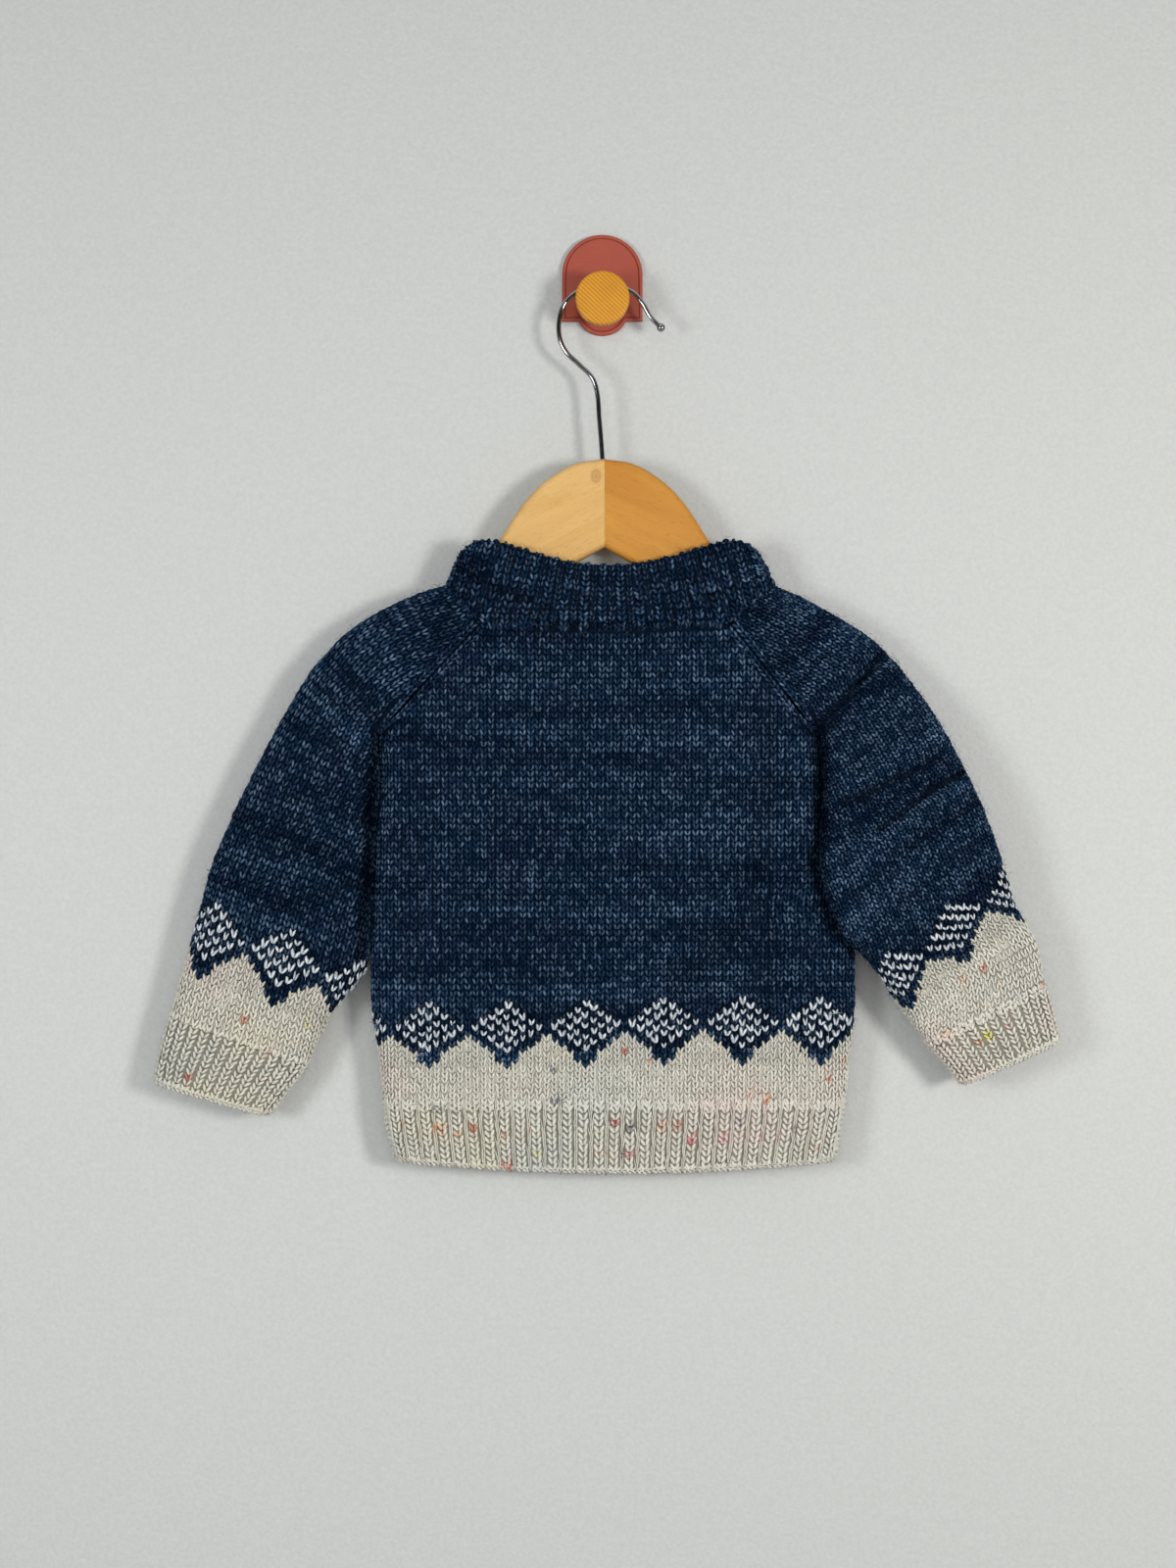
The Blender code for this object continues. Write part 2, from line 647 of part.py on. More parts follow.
def wall_knob(collection, look):
    """Knob and stem turned in one piece, about an axis square to the wall."""
    profile = [(0, KNOB_FRONT), (KNOB_RADIUS - KNOB_EDGE, KNOB_FRONT)]
    profile.append((KNOB_RADIUS, KNOB_FRONT - KNOB_EDGE))
    profile.append((KNOB_RADIUS, KNOB_BACK + KNOB_EDGE))
    profile.append((KNOB_RADIUS - KNOB_EDGE, KNOB_BACK))
    profile.append((STEM_RADIUS, KNOB_BACK))
    profile.append((STEM_RADIUS, PLATE_THICKNESS + SEAM))
    profile.append((0, PLATE_THICKNESS + SEAM))
    mesh = bpy.data.meshes.new("wall_knob")
    edges = [(index, index + 1) for index in range(len(profile) - 1)]
    mesh.from_pydata([(radius * MM, 0, height * MM) for radius, height in profile], edges, [])
    knob = add_object("wall_knob", mesh, collection, look)
    screw = knob.modifiers.new("Turn", "SCREW")
    screw.steps = TURNED_STEPS
    screw.render_steps = TURNED_STEPS
    screw.use_merge_vertices = True
    screw.merge_threshold = 0.00005
    knob.rotation_euler = (math.pi / 2, 0, 0)
    return knob


def sweater(collection):
    navy = material("navy knit", NAVY_KNIT)
    cream = material("cream knit", CREAM_KNIT)
    for side in ("back", "front"):
        panel_wall(side, body_layer(side, 0.0), body_layer(side, CLOTH), collection, navy)
    sleeve_wall("sleeve_left", LEFT_CAP, LEFT_SLEEVE, "left", collection, navy)
    sleeve_wall("sleeve_right", RIGHT_CAP, RIGHT_SLEEVE, "right", collection, navy)
    neckband(collection, navy)
    hem = []
    for inset in (0.0, CLOTH):
        rows = spread(HEM_ROWS, RIB_SPANS)
        rows[0] = rows[0]._replace(z=rows[0].z - SEAM)
        dips = [HEM_SAG * step / RIB_SPANS for step in range(RIB_SPANS + 1)]
        hem.append([tube_section(row, inset, dip) for row, dip in zip(rows, dips)])
    ring_wall("hem_rib", *hem, collection, cream)
    for name, cuff in (("cuff_left", LEFT_CUFF), ("cuff_right", RIGHT_CUFF)):
        layers = []
        for inset in (0.0, CLOTH):
            rows = spread(cuff, RIB_SPANS)
            rows[0] = smooth_row(cuff, SEAM / 36)
            layers.append([sleeve_section(row, inset)[:-1] for row in rows])
        ring_wall(name, *layers, collection, cream)


def hanger(collection):
    wood = material("varnished wood", VARNISHED_WOOD)
    hanger_arm("hanger_arm_left", -1, collection, wood)
    hanger_arm("hanger_arm_right", 1, collection, wood)
    hanger_hook(collection, material("chrome wire", CHROME_WIRE))


def wall_hook(collection):
    wall_plate(collection, material("terracotta", TERRACOTTA))
    wall_knob(collection, material("mustard", MUSTARD))


def main():
    clear_scene()
    collection = bpy.data.collections.new("Sweater on hanger")
    bpy.context.scene.collection.children.link(collection)
    sweater(collection)
    hanger(collection)
    wall_hook(collection)


main()
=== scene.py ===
import math
from collections import namedtuple

import bmesh
import bpy
import numpy as np
from mathutils import Matrix, Vector, kdtree


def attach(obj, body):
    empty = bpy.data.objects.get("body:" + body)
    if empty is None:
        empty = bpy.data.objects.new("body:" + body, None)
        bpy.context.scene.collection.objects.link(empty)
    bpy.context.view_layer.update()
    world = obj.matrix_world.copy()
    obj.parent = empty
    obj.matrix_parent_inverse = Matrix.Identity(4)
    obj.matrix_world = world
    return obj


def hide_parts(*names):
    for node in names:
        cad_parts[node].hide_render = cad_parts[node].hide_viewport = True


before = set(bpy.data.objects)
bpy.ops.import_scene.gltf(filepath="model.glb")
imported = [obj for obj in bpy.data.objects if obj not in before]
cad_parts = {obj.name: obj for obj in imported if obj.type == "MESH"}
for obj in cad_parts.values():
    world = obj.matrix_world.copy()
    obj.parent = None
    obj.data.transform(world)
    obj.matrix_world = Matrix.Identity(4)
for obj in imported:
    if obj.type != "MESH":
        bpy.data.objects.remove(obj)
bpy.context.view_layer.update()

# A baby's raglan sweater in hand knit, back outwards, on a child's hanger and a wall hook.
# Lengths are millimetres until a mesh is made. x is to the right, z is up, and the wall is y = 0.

mm = 0.001
scene = bpy.context.scene
garment = bpy.data.collections.new("garment")
scene.collection.children.link(garment)
print("frame loaded")


def table(columns, *rows):  # rows of numbers under named columns
    kind = namedtuple("row", columns)
    return tuple(kind(*row) for row in rows)


# Shape of the sweater

cloth = {
    "thickness": 2.6,
    "plumpness": 1.0,  # of the stitches
    "stitchDepth": 1.0,  # how far the backing lies under the tops of the stitches
    "seam": 0.3,
    "bodyReach": (14.0, 14.0),  # how far in from each folded edge the cloth lies flat
    "sleeveReach": (12.0, 20.0),  # the same from a sleeve's inner and outer edge
    "yokeRounding": 30.0,
    "neckDip": {"back": 2.0, "front": 16.0},
    "frontYokeShare": 0.78,
    "hemSag": 6.5,
    "middleY": -17.0,  # between back and front
}
outY = {"back": -1, "front": 1}
outX = {"left": -1, "right": 1}

bodyRows = table(
    "z left right centreY halfDepth",
    (-173.2, -65.0, 67.5, -17.4, 12.6),  # neck
    (-188.0, -79.0, 79.5, -17.4, 12.6),
    (-202.5, -92.5, 91.0, -17.3, 12.4),
    (-217.0, -106.0, 102.5, -17.2, 12.2),
    (-231.5, -119.0, 113.5, -17.0, 11.8),  # underarm
    (-257.0, -118.0, 118.5, -16.6, 10.6),
    (-294.0, -121.0, 124.0, -16.2, 9.6),
    (-330.0, -123.0, 133.0, -15.8, 9.2),
    (-361.0, -124.0, 135.5, -15.5, 9.2),
    (-388.0, -122.0, 133.5, -15.2, 9.4),
    (-411.0, -118.5, 131.5, -15.0, 9.6),
    (-428.0, -117.0, 129.5, -15.0, 9.6),  # top of the hem's rib
    (-442.0, -115.0, 127.5, -15.0, 9.4),
    (-456.0, -111.5, 125.5, -15.0, 9.2),
)
yokeRows = bodyRows[:5]
neckZ, underarmZ, hemZ, edgeZ = (bodyRows[index].z for index in (0, 4, 11, 13))
capColumns = "outerX outerZ"
caps = {
    "left": table(capColumns, (-84, -151.5), (-98, -156), (-116, -164), (-136.5, -177), (-155, -196.5)),
    "right": table(capColumns, (92, -152), (106, -158), (124.5, -168), (142.5, -179.5), (157.5, -194)),
}
sleeveColumns = "outerX outerZ innerX innerZ centreY halfDepth"
sleeveRows = {  # from under the arm; the last two rows are the cuff's
    "left": table(
        sleeveColumns,
        (-169.0, -219.5, -117.9, -251.5, -17.0, 10.8),
        (-183.5, -246.5, -119.2, -273.0, -17.0, 10.6),
        (-196.5, -273.0, -121.2, -300.0, -17.0, 10.6),
        (-208.0, -300.5, -122.9, -329.0, -17.0, 10.8),
        (-214.5, -324.0, -125.6, -355.0, -17.0, 11.0),
        (-222.0, -350.0, -142.5, -378.5, -16.6, 10.8),
        (-230.5, -381.0, -157.0, -407.0, -16.2, 10.0),
        (-235.5, -398.5, -167.0, -420.5, -16.0, 9.6),
        (-239.0, -415.0, -176.5, -433.0, -15.8, 9.4),
    ),
    "right": table(
        sleeveColumns,
        (174.5, -218.5, 117.0, -255.0, -24.5, 9.8),
        (188.5, -244.5, 114.6, -281.5, -29.0, 9.4),
        (200.0, -269.0, 115.5, -307.5, -30.5, 9.4),
        (209.5, -294.0, 125.5, -335.5, -29.0, 9.8),
        (218.0, -320.5, 142.0, -353.5, -26.5, 10.2),
        (229.5, -340.5, 156.5, -375.0, -24.5, 10.2),
        (235.0, -363.5, 171.5, -394.5, -23.0, 9.6),
        (239.0, -378.5, 181.0, -405.5, -22.2, 9.2),
        (242.5, -392.5, 189.5, -416.0, -21.6, 9.0),
    ),
}
underarmPlace, cuffPlace, endPlace = 4, 11, 13  # along a sleeve, counted in rows from the neck

# Troughs pressed into the cloth, or ridges where the depth is negative. The last number is painted shade:
# how much darker the yarn is coloured down in the fold.
creaseColumns = "x0 z0 x1 z1 halfWidth depth dark"
creases = {
    "back": table(
        creaseColumns,
        (86, -205, 84, -365, 9, 3.0, 0.30), (104, -225, 108, -350, 8, -1.2, 0),
        (84, -325, 40, -362, 9, 2.6, 0.40), (-55, -255, -52, -305, 8, 1.0, 0.10),
        (-98, -235, -104, -330, 9, 0.8, 0.15), (146, -200, 122, -225, 5, 1.6, 0),
        (186, -240, 130, -275, 7, 1.6, 0), (-140, -198, -122, -222, 6, 2.2, 0.40),
        (-185, -262, -140, -285, 7, 1.2, 0.20),
        # sharper ones, in the knit only; those with no depth are only lines of painted shade
        (150, -189, 117, -226, 4.0, 3.6, 0.45), (149, -190, 116, -227, 2.4, 0, 0.95),
        (142, -181, 120, -207, 3.4, -1.0, 0), (155, -193, 124, -228, 2.6, -0.8, 0),
        (177, -243, 158, -254, 3.0, 2.2, 0.70), (158, -254, 126, -268, 3.0, 2.4, 0.60),
        (193, -250, 172, -261, 3.2, 3.6, 0.50), (172, -261, 145, -282, 3.2, 3.0, 0.45),
        (194, -250, 172, -261, 2.6, 0, 0.97), (172, -261, 147, -280, 2.2, 0, 0.90),
        (186, -258, 156, -268, 3.4, -1.2, 0), (198, -267, 160, -292, 3.4, 1.0, 0.35),
        (-151, -205, -128, -227, 3.0, 1.0, 0.30), (-160, -216, -136, -236, 3.0, 0.6, 0.15),
        (-199, -276, -150, -262, 3.0, 0.9, 0.30), (-206, -300, -136, -290, 3.4, 0.8, 0.25),
        (-186, -326, -132, -312, 4.0, 1.0, 0.35), (-36, -175.5, 60, -175.5, 1.5, 1.8, 0.75),
        (-86, -160, -68, -178, 5, 0.9, 0.2), (-54, -262, -53, -300, 2.4, 0.5, 0),
        # painted shade where the neckband folds over at its ends
        (-72, -146, -53, -156, 2.1, 0, 0.95), (-53, -156, -28, -167, 2.1, 0, 0.85),
        (52, -162, 68, -156, 1.8, 0, 0.75), (68, -156, 82, -154, 1.8, 0, 0.65),
        (70, -165, 90, -168, 4.0, 0, 0.50), (-86, -160, -74, -178, 4.0, 0, 0.45),
        # painted shade in the hollows where the sleeves meet the body
        (-121, -238, -124.5, -300, 4.6, 0, 0.90), (-124.5, -300, -128, -350, 4.4, 0, 0.80),
        (115.5, -226, 116, -262, 4.6, 0, 0.90), (116, -262, 113, -302, 4.6, 0, 0.85),
        (113, -302, 121, -334, 4.6, 0, 0.70), (121, -334, 134, -349, 4.0, 0, 0.50),
    ),
    "front": table(
        creaseColumns,
        (-70, -225, -78, -360, 11, 1.8, 0.2), (60, -240, 52, -330, 10, 1.6, 0.2),
        (176, -238, 134, -268, 7, 1.8, 0.3), (-178, -240, -136, -266, 7, 1.8, 0.3),
        (-30, -190, 40, -192, 1.5, 1.1, 0.2), (165, -205, 138, -232, 3.0, 0.8, 0.2),
        (-162, -208, -136, -234, 3.0, 0.8, 0.2),
        # painted shade in the hollows where the sleeves meet the body
        (-121, -238, -124.5, -300, 4.0, 0, 0.60), (-124.5, -300, -128, -350, 4.0, 0, 0.50),
    ),
}


def rowsAt(rows, places):  # smooth curve through a table's rows, places counted in rows
    rows = np.array(rows, float)
    last = len(rows) - 1
    places = np.clip(np.atleast_1d(np.asarray(places, float)), 0, last)
    index = np.minimum(places.astype(int), last - 1)
    t = (places - index)[:, None]
    padded = np.vstack((2 * rows[0] - rows[1], rows, 2 * rows[-1] - rows[-2]))
    before, start, end, after = (padded[index + step] for step in range(4))
    bend, twist = before - 2.5 * start + 2 * end - 0.5 * after, 3 * start - 3 * end + after - before
    return start + 0.5 * t * (end - before) + t**2 * bend + 0.5 * t**3 * twist


def foldAmount(side, x, z, column):  # how deep the creases press it there, or how much painted shade they put on it
    total = np.zeros_like(x)
    for fold in creases[side]:
        runX, runZ = fold.x1 - fold.x0, fold.z1 - fold.z0
        share = np.clip(((x - fold.x0) * runX + (z - fold.z0) * runZ) / (runX**2 + runZ**2), 0, 1)
        across = np.hypot(x - fold.x0 - share * runX, z - fold.z0 - share * runZ)
        amount = getattr(fold, column) * np.exp(-((across / fold.halfWidth) ** 2))
        total = np.maximum(total, amount) if column == "dark" else total + amount
    return total


foldSamples, flatSamples = 14, 60  # points on each turned edge and on the flat between
outerPoint = 2 * foldSamples + flatSamples - 1  # where a sleeve's line passes its outer edge


def sectionLine(start, end, angles, reach, centreY, halfDepth, side, inset):
    # across one side of a tube: a quarter turn at each end, begun at these angles, and flat between
    run = np.subtract(end, start)
    length = math.hypot(*run)
    run = run / length
    first = -reach[0] * (1 - math.cos(angles[0]))
    last = length + reach[1] * (1 - math.cos(angles[1]))
    share = np.linspace(0, 1, foldSamples, endpoint=False)
    turnIn = angles[0] + (math.pi / 2 - angles[0]) * share
    turnOut = angles[1] + (math.pi / 2 - angles[1]) * share[::-1]
    across = np.concatenate((
        first + inset + (reach[0] - inset) * (1 - np.cos(turnIn)),
        np.linspace(first + reach[0], last - reach[1], flatSamples),
        last - inset - (reach[1] - inset) * (1 - np.cos(turnOut)),
    ))
    height = np.concatenate((np.sin(turnIn), np.ones(flatSamples), np.sin(turnOut)))
    x, z = (start[axis] + run[axis] * across for axis in (0, 1))
    depth = (halfDepth - inset - foldAmount(side, x, z, "depth")) * height
    return np.stack((x, centreY + outY[side] * depth, z), axis=1)


bodyCurve = rowsAt(bodyRows, np.linspace(0, len(bodyRows) - 1, 1200))


def sinkAngle(z):  # how far round its fold the cloth is at the raglan line
    return min(1.0, max(0.0, (z - underarmZ) / cloth["yokeRounding"])) * math.pi / 2


def onFront(z):  # the front's yoke is shorter, so its rows lie lower
    return underarmZ + cloth["frontYokeShare"] * (z - underarmZ)


def bodyLine(z, side, inset, gap=0.0):  # z is the row's height on the back
    left, right, centreY, halfDepth = (
        float(np.interp(-z, -bodyCurve[:, 0], bodyCurve[:, column])) for column in range(1, 5))
    dip, shownZ = 0.0, z
    if z > underarmZ:
        dip = cloth["neckDip"][side] * (z - underarmZ) / (neckZ - underarmZ)
        left, right = left + gap, right - gap
        shownZ = onFront(z) if side == "front" else z
    if z < hemZ:
        dip = cloth["hemSag"] * (hemZ - z) / (hemZ - edgeZ)
    line = sectionLine((left, shownZ), (right, shownZ), (sinkAngle(shownZ),) * 2, cloth["bodyReach"],
                       centreY, halfDepth, side, inset)
    middle, half = (left + right) / 2, (right - left) / 2
    line[:, 2] -= dip * np.clip(1 - ((line[:, 0] - middle) / half) ** 2, 0, 1)
    if z >= hemZ:
        line[:, 1] += outY[side] * cloth["seam"] / 2
    return line


def sleeveLine(place, edge, inset):  # over the front from the inner edge, then over the back to it
    if place < underarmPlace:
        z, left, right, centreY, halfDepth = rowsAt(yokeRows, place)[0]
        outer = rowsAt(caps[edge], place)[0]
        innerX = (left if edge == "left" else right) + outX[edge] * cloth["seam"] / 2
        frontZ = onFront(z)
        angles = {"back": sinkAngle(z), "front": sinkAngle(frontZ)}
    else:
        under = yokeRows[-1]
        seamX = getattr(under, edge) + outX[edge] * cloth["seam"]
        first = (*caps[edge][-1], seamX, under.z, under.centreY, under.halfDepth)
        row = rowsAt((first, *sleeveRows[edge]), place - underarmPlace)[0]
        outer, (innerX, z, centreY, halfDepth) = row[:2], row[2:]
        frontZ, angles = z, {"back": 0.0, "front": 0.0}
    front, back = (
        sectionLine((innerX, innerZ), outer, (angles[side], 0.0), cloth["sleeveReach"],
                    centreY, halfDepth, side, inset)
        for side, innerZ in (("front", frontZ), ("back", z)))
    return np.vstack((front, back[-2::-1]))


# Patches: a dense grid of points for each piece of cloth, and rows and wales laid on it

insets = (0.0, cloth["stitchDepth"], cloth["thickness"])  # the stitches' tops, the backing's two faces


def lengthsDown(points):  # running length along a line of points
    steps = np.linalg.norm(np.diff(points, axis=0), axis=-1)
    return np.concatenate((np.zeros_like(steps[:1]), np.cumsum(steps, axis=0)))


def makePatch(lineAt, places, lengths=None):
    grids = {inset: np.array([lineAt(place, inset) for place in places]) for inset in insets}
    if lengths is None:  # halfway across its front and its back
        quarter = grids[0.0].shape[1] // 4
        lengths = lengthsDown(grids[0.0][:, [quarter, 3 * quarter]]).mean(axis=1)
    return {"grids": grids, "lengths": lengths, "places": places}


def gridLine(patch, length, inset, bend=None):
    # the points across the patch at that length down from its top, with a bend for each point. A length
    # just beyond an end is carried on straight.
    grid, lengths = patch["grids"][inset], patch["lengths"]
    columns = np.arange(grid.shape[1])
    at = np.full(len(columns), float(length))
    if bend is not None:
        at = at + bend(length, np.linspace(0, 1, len(columns)))
    low = np.clip(np.searchsorted(lengths, at) - 1, 0, len(grid) - 2)
    t = ((at - lengths[low]) / (lengths[low + 1] - lengths[low]))[:, None]
    return grid[low, columns] * (1 - t) + grid[low + 1, columns] * t


def arcLengths(line, zeroAt):  # zeroAt: a point's number, or a function that finds it on the line
    total = lengthsDown(line)
    zero = zeroAt(line) if callable(zeroAt) else zeroAt
    return total - np.interp(zero, np.arange(len(line)), total)


def along(line, lengths, at):
    return np.stack([np.interp(at, lengths, line[:, axis]) for axis in range(3)], axis=1)


def unit(vectors):
    return vectors / np.maximum(np.linalg.norm(vectors, axis=-1, keepdims=True), 1e-9)


def smooth(value):
    value = np.clip(value, 0, 1)
    return value * value * (3 - 2 * value)


# Knots of dyed fibre in the pale yarn

fibre = {
    "rust": (0.42, 0.10, 0.03),
    "orange": (0.62, 0.24, 0.07),
    "red": (0.40, 0.05, 0.04),
    "pink": (0.52, 0.12, 0.16),
    "yellow": (0.55, 0.50, 0.08),
    "grey": (0.12, 0.13, 0.14),
    "ink": (0.03, 0.05, 0.11),
}
scatter = np.random.default_rng(11)
frontNeps, frontReach = 70, 2.8
nepColumns = "x z colour reach strength"
neps = {  # placed on the back, scattered on the front
    "back": table(
        nepColumns,
        (12, -400, "rust", 3.0, 0.9), (25, -405, "orange", 2.6, 0.7), (-10, -411, "orange", 2.6, 0.4),
        (-25, -409, "ink", 1.6, 0.9), (-24, -426, "ink", 3.6, 0.8), (80, -422, "rust", 3.0, 0.9),
        (86, -425, "orange", 2.8, 0.8), (8, -437, "red", 3.0, 0.8), (33, -438, "orange", 2.8, 0.6),
        (59, -430, "grey", 2.6, 0.6), (-106, -439, "orange", 3.0, 0.6), (-105, -455, "rust", 2.6, 0.5),
        (-88, -431, "grey", 3.2, 0.7), (-87, -441, "orange", 3.6, 0.9), (-67, -441, "rust", 3.2, 0.8),
        (-75, -443, "orange", 2.4, 0.5), (-50, -459, "red", 3.4, 0.8), (-51, -444, "rust", 2.4, 0.4),
        (-35, -455, "yellow", 3.0, 0.45), (-40, -442, "orange", 2.6, 0.5), (14, -440, "grey", 3.4, 0.8),
        (11, -455, "ink", 2.2, 0.9), (16, -456, "pink", 3.2, 0.8), (32, -440, "orange", 2.6, 0.6),
        (39, -439, "rust", 3.0, 0.7), (0, -455, "rust", 2.8, 0.6), (-20, -453, "orange", 2.6, 0.4),
        (47, -446, "pink", 3.0, 0.8), (65, -446, "pink", 3.2, 0.8), (72, -436, "ink", 2.2, 0.7),
        (94, -446, "pink", 3.0, 0.7), (84, -447, "pink", 2.8, 0.6), (74, -446, "red", 2.6, 0.5),
        (101, -441, "grey", 2.8, 0.6), (112, -452, "orange", 2.6, 0.5), (200, -356, "rust", 3.0, 0.8),
        (191, -361, "orange", 3.4, 0.6), (208, -363, "orange", 2.6, 0.6), (231, -364, "rust", 2.8, 0.6),
        (204, -390, "yellow", 3.6, 0.9), (212, -386, "pink", 3.2, 0.8), (198, -394, "rust", 2.8, 0.7),
        (182, -389, "orange", 3.0, 0.4), (121, -413, "rust", 2.8, 0.9), (87, -427, "red", 2.6, 0.7),
        (128, -406, "orange", 2.8, 0.4), (-189, -383, "rust", 3.0, 0.8), (-156, -385, "yellow", 3.2, 0.5),
        (-178, -401, "red", 3.2, 0.7), (-220, -413, "red", 3.6, 0.8), (-179, -416, "orange", 3.4, 0.5),
        (-160, -397, "pink", 3.0, 0.3), (-212, -398, "grey", 2.4, 0.3), (-232, -404, "grey", 3.0, 0.5),
    ),
    "front": table(nepColumns, *zip(
        scatter.uniform(-230, 236, frontNeps), scatter.uniform(-460, -395, frontNeps),
        scatter.choice(["rust", "orange", "red", "grey", "pink", "yellow"], frontNeps),
        [frontReach] * frontNeps, scatter.uniform(0.4, 0.8, frontNeps))),
}
nepEdgeY = -12.0  # between the two
nepLook = {"least": 0.30, "gain": 0.60, "spread": 1.45}


def nepColours(places):
    made = np.zeros((len(places), 4))
    behind = places[:, 1] < nepEdgeY
    for side, mask in (("back", behind), ("front", ~behind)):
        for nep in neps[side]:
            away = np.hypot(places[:, 0] - nep.x, places[:, 2] - nep.z)
            amount = nepLook["least"] + nepLook["gain"] * nep.strength
            amount = amount * np.clip(nepLook["spread"] - away / nep.reach, 0, 1) * mask
            stronger = amount > made[:, 3]
            made[stronger, :3] = fibre[nep.colour]
            made[stronger, 3] = amount[stronger]
    return made


# Stranded pattern: a diamond of pale stitches over each navy point, repeating every ten wales

pattern = {
    "repeat": 10,
    "rows": 12,  # from a diamond's top stitch to the navy point
    "diamond": 8,
    "zigzag": (5, 4, 3, 2, 1, 1, 0),  # half width of the navy point, from the sixth row down
}
navy, white, cream = 0, 1, 2


def yarnAt(row, wale):
    # row: 0 at the navy points' tips, rising. wale: 0 on a point, counted across.
    half = pattern["repeat"] // 2
    offset = np.abs((wale + half) % pattern["repeat"] - half)
    down = pattern["rows"] - 1 - row
    kind = np.full(np.shape(wale), cream if row < 0 else navy)
    firstZigzag = pattern["rows"] - len(pattern["zigzag"])
    if row >= 0 and down >= firstZigzag:
        kind[offset > pattern["zigzag"][down - firstZigzag]] = cream
    if row >= 0 and 0 <= down <= pattern["diamond"]:
        inside = offset <= min(down, pattern["diamond"] - down)
        kind[inside & ((offset + down) % 2 == 0)] = white
    return kind


# Stitches, gathered as arrays of values before they are made

knitted = []  # the values of every piece of knitting made so far
plainKnit = {  # what a piece or a rib may change, as shares of the pitch or the row where not millimetres
    "count": None,  # ribs all round, in place of a pitch
    "kind": None,  # one kind of yarn, in place of the pattern
    "bend": None, "shift": 0.0, "width": 1.0, "height": 1.0, "stretch": 1.0, "rough": 1.0, "lean": 0.0,
    # dark: painted shade for a column that sits lower than its neighbours
    "lift": 0.0, "dark": 0.0, "lot": 0.0,
}
uneven = {"size": 0.05, "wobble": 0.13, "turn": 0.08, "paleSize": (-0.05, 0.10), "paleLift": 0.25}
sunkPaintedShade, creamDark = 0.45, 0.10  # painted shade on navy stitches sunk between pale ones, and darker cream where it is stranded
endClear = 1.2  # at the ends of a row
slopeShare, slopeReach = 0.4, 0.8  # how far off the cloth's slope is read: a share of the row, millimetres


def addStitches(found, place, facing, upWale, size, kind, dye=None, deep=0.0):
    folds = (foldAmount(side, place[:, 0], place[:, 2], "dark") for side in ("back", "front"))
    found.append({
        "place": place, "facing": facing, "upWale": upWale, "size": size, "kind": kind,
        "nep": nepColours(place), "dye": place * mm if dye is None else dye,
        # dark: painted shade, from the creases' dark column and from stitches sunk between others
        "dark": np.maximum(np.where(facing[:, 1] < 0, *folds), deep),
    })


def joined(found):
    return {key: np.concatenate([values[key] for values in found]) for key in found[0]}


def layStitches(found, patch, knit, rows, keep=None, seed=1):
    # rows: row number, length down the patch and, in a rib, a stretch of that row
    dice = np.random.default_rng(seed)
    knit = {**plainKnit, **knit}
    half = slopeShare * knit["rowHeight"]
    for row, length, *stretch in rows:
        lines = [gridLine(patch, length + shift, 0.0, knit["bend"]) for shift in (0.0, -half, half)]
        lengths = [arcLengths(line, knit["zeroAt"]) for line in lines]
        low, high = lengths[0][0], lengths[0][-1]
        wales, grown = np.arange(-199, 200), [1.0] * 3
        if knit["count"]:
            pitch = (high - low) / knit["count"]
            grown = [(line[-1] - line[0]) / (high - low) for line in lengths]
            first, last = low, high - 0.001
        else:
            pitch, first, last = knit["pitch"], low + endClear, high - endClear
        at = (wales + knit["shift"]) * pitch
        fits = (at >= first) & (at < last)
        wales, at = wales[fits], at[fits]
        if not len(at):
            continue
        place, before, after = (along(lines[0], lengths[0], np.clip(at + step, low, high))
                                for step in (0, -slopeReach, slopeReach))
        above, below = (along(lines[end], lengths[end], at * grown[end]) for end in (1, 2))
        up, across = above - below, after - before
        facing = unit(np.cross(across, up)) * knit["sign"]
        patterned = knit["kind"] is None
        kind = yarnAt(row, wales) if patterned else np.full(len(wales), knit["kind"])
        size = np.stack((
            np.full(len(at), knit["width"] * pitch / legWale),
            np.clip(np.linalg.norm(up, axis=1) / (2 * half), 0.6, 1.5) * knit["rowHeight"] / legRow
            * knit["stretch"] * (stretch[0] if stretch else 1.0),
            np.full(len(at), knit["height"]),
        ), axis=1)
        pale = (kind == white)[:, None]  # stranded stitches are looser than the rest
        rough = knit["rough"] + pale
        size *= (1 + dice.normal(0, uneven["size"], size.shape) * rough
                 + pale * dice.normal(*uneven["paleSize"], size.shape))
        wobble = dice.normal(0, uneven["wobble"], place.shape) * rough
        turned = knit["lean"] + dice.normal(0, uneven["turn"], (len(at), 1)) * rough
        upWale = unit(unit(up) + unit(across) * turned)
        place = place + wobble + facing * (knit["lift"] + uneven["paleLift"] * pale)
        dye = np.stack((at * mm, np.full(len(at), knit["lot"]), np.full(len(at), -length * mm)), axis=1)
        # painted shade on navy stitches sunk between raised pale ones, darker cream in the stranded rows,
        # and a sunken rib column's own dark
        between = (kind == navy) & ((np.roll(kind, 1) == white) | (np.roll(kind, -1) == white))
        stranded = patterned & (kind == cream) & (row >= 0)
        deep = np.maximum(knit["dark"], sunkPaintedShade * between + creamDark * stranded)
        kept = keep(place) if keep else np.ones(len(at), bool)
        addStitches(found, *(values[kept] for values in (place, facing, upWale, size, kind, dye, deep)))


# Making meshes and pieces

def newObject(name, data):
    made = bpy.data.objects.new(name, data)
    scene.collection.objects.link(made)
    return made


def closedMesh(name, shape, merge=None):  # from a bmesh, its faces turned outward
    if merge:
        bmesh.ops.remove_doubles(shape, verts=shape.verts, dist=merge)
    bmesh.ops.recalc_face_normals(shape, faces=shape.faces)
    if shape.calc_volume(signed=True) < 0:
        bmesh.ops.reverse_faces(shape, faces=shape.faces)
    mesh = bpy.data.meshes.new(name)
    shape.to_mesh(mesh)
    shape.free()
    mesh.shade_smooth()
    return mesh


def addPoints(shape, points):  # in millimetres
    return [shape.verts.new([value * mm for value in point]) for point in points]


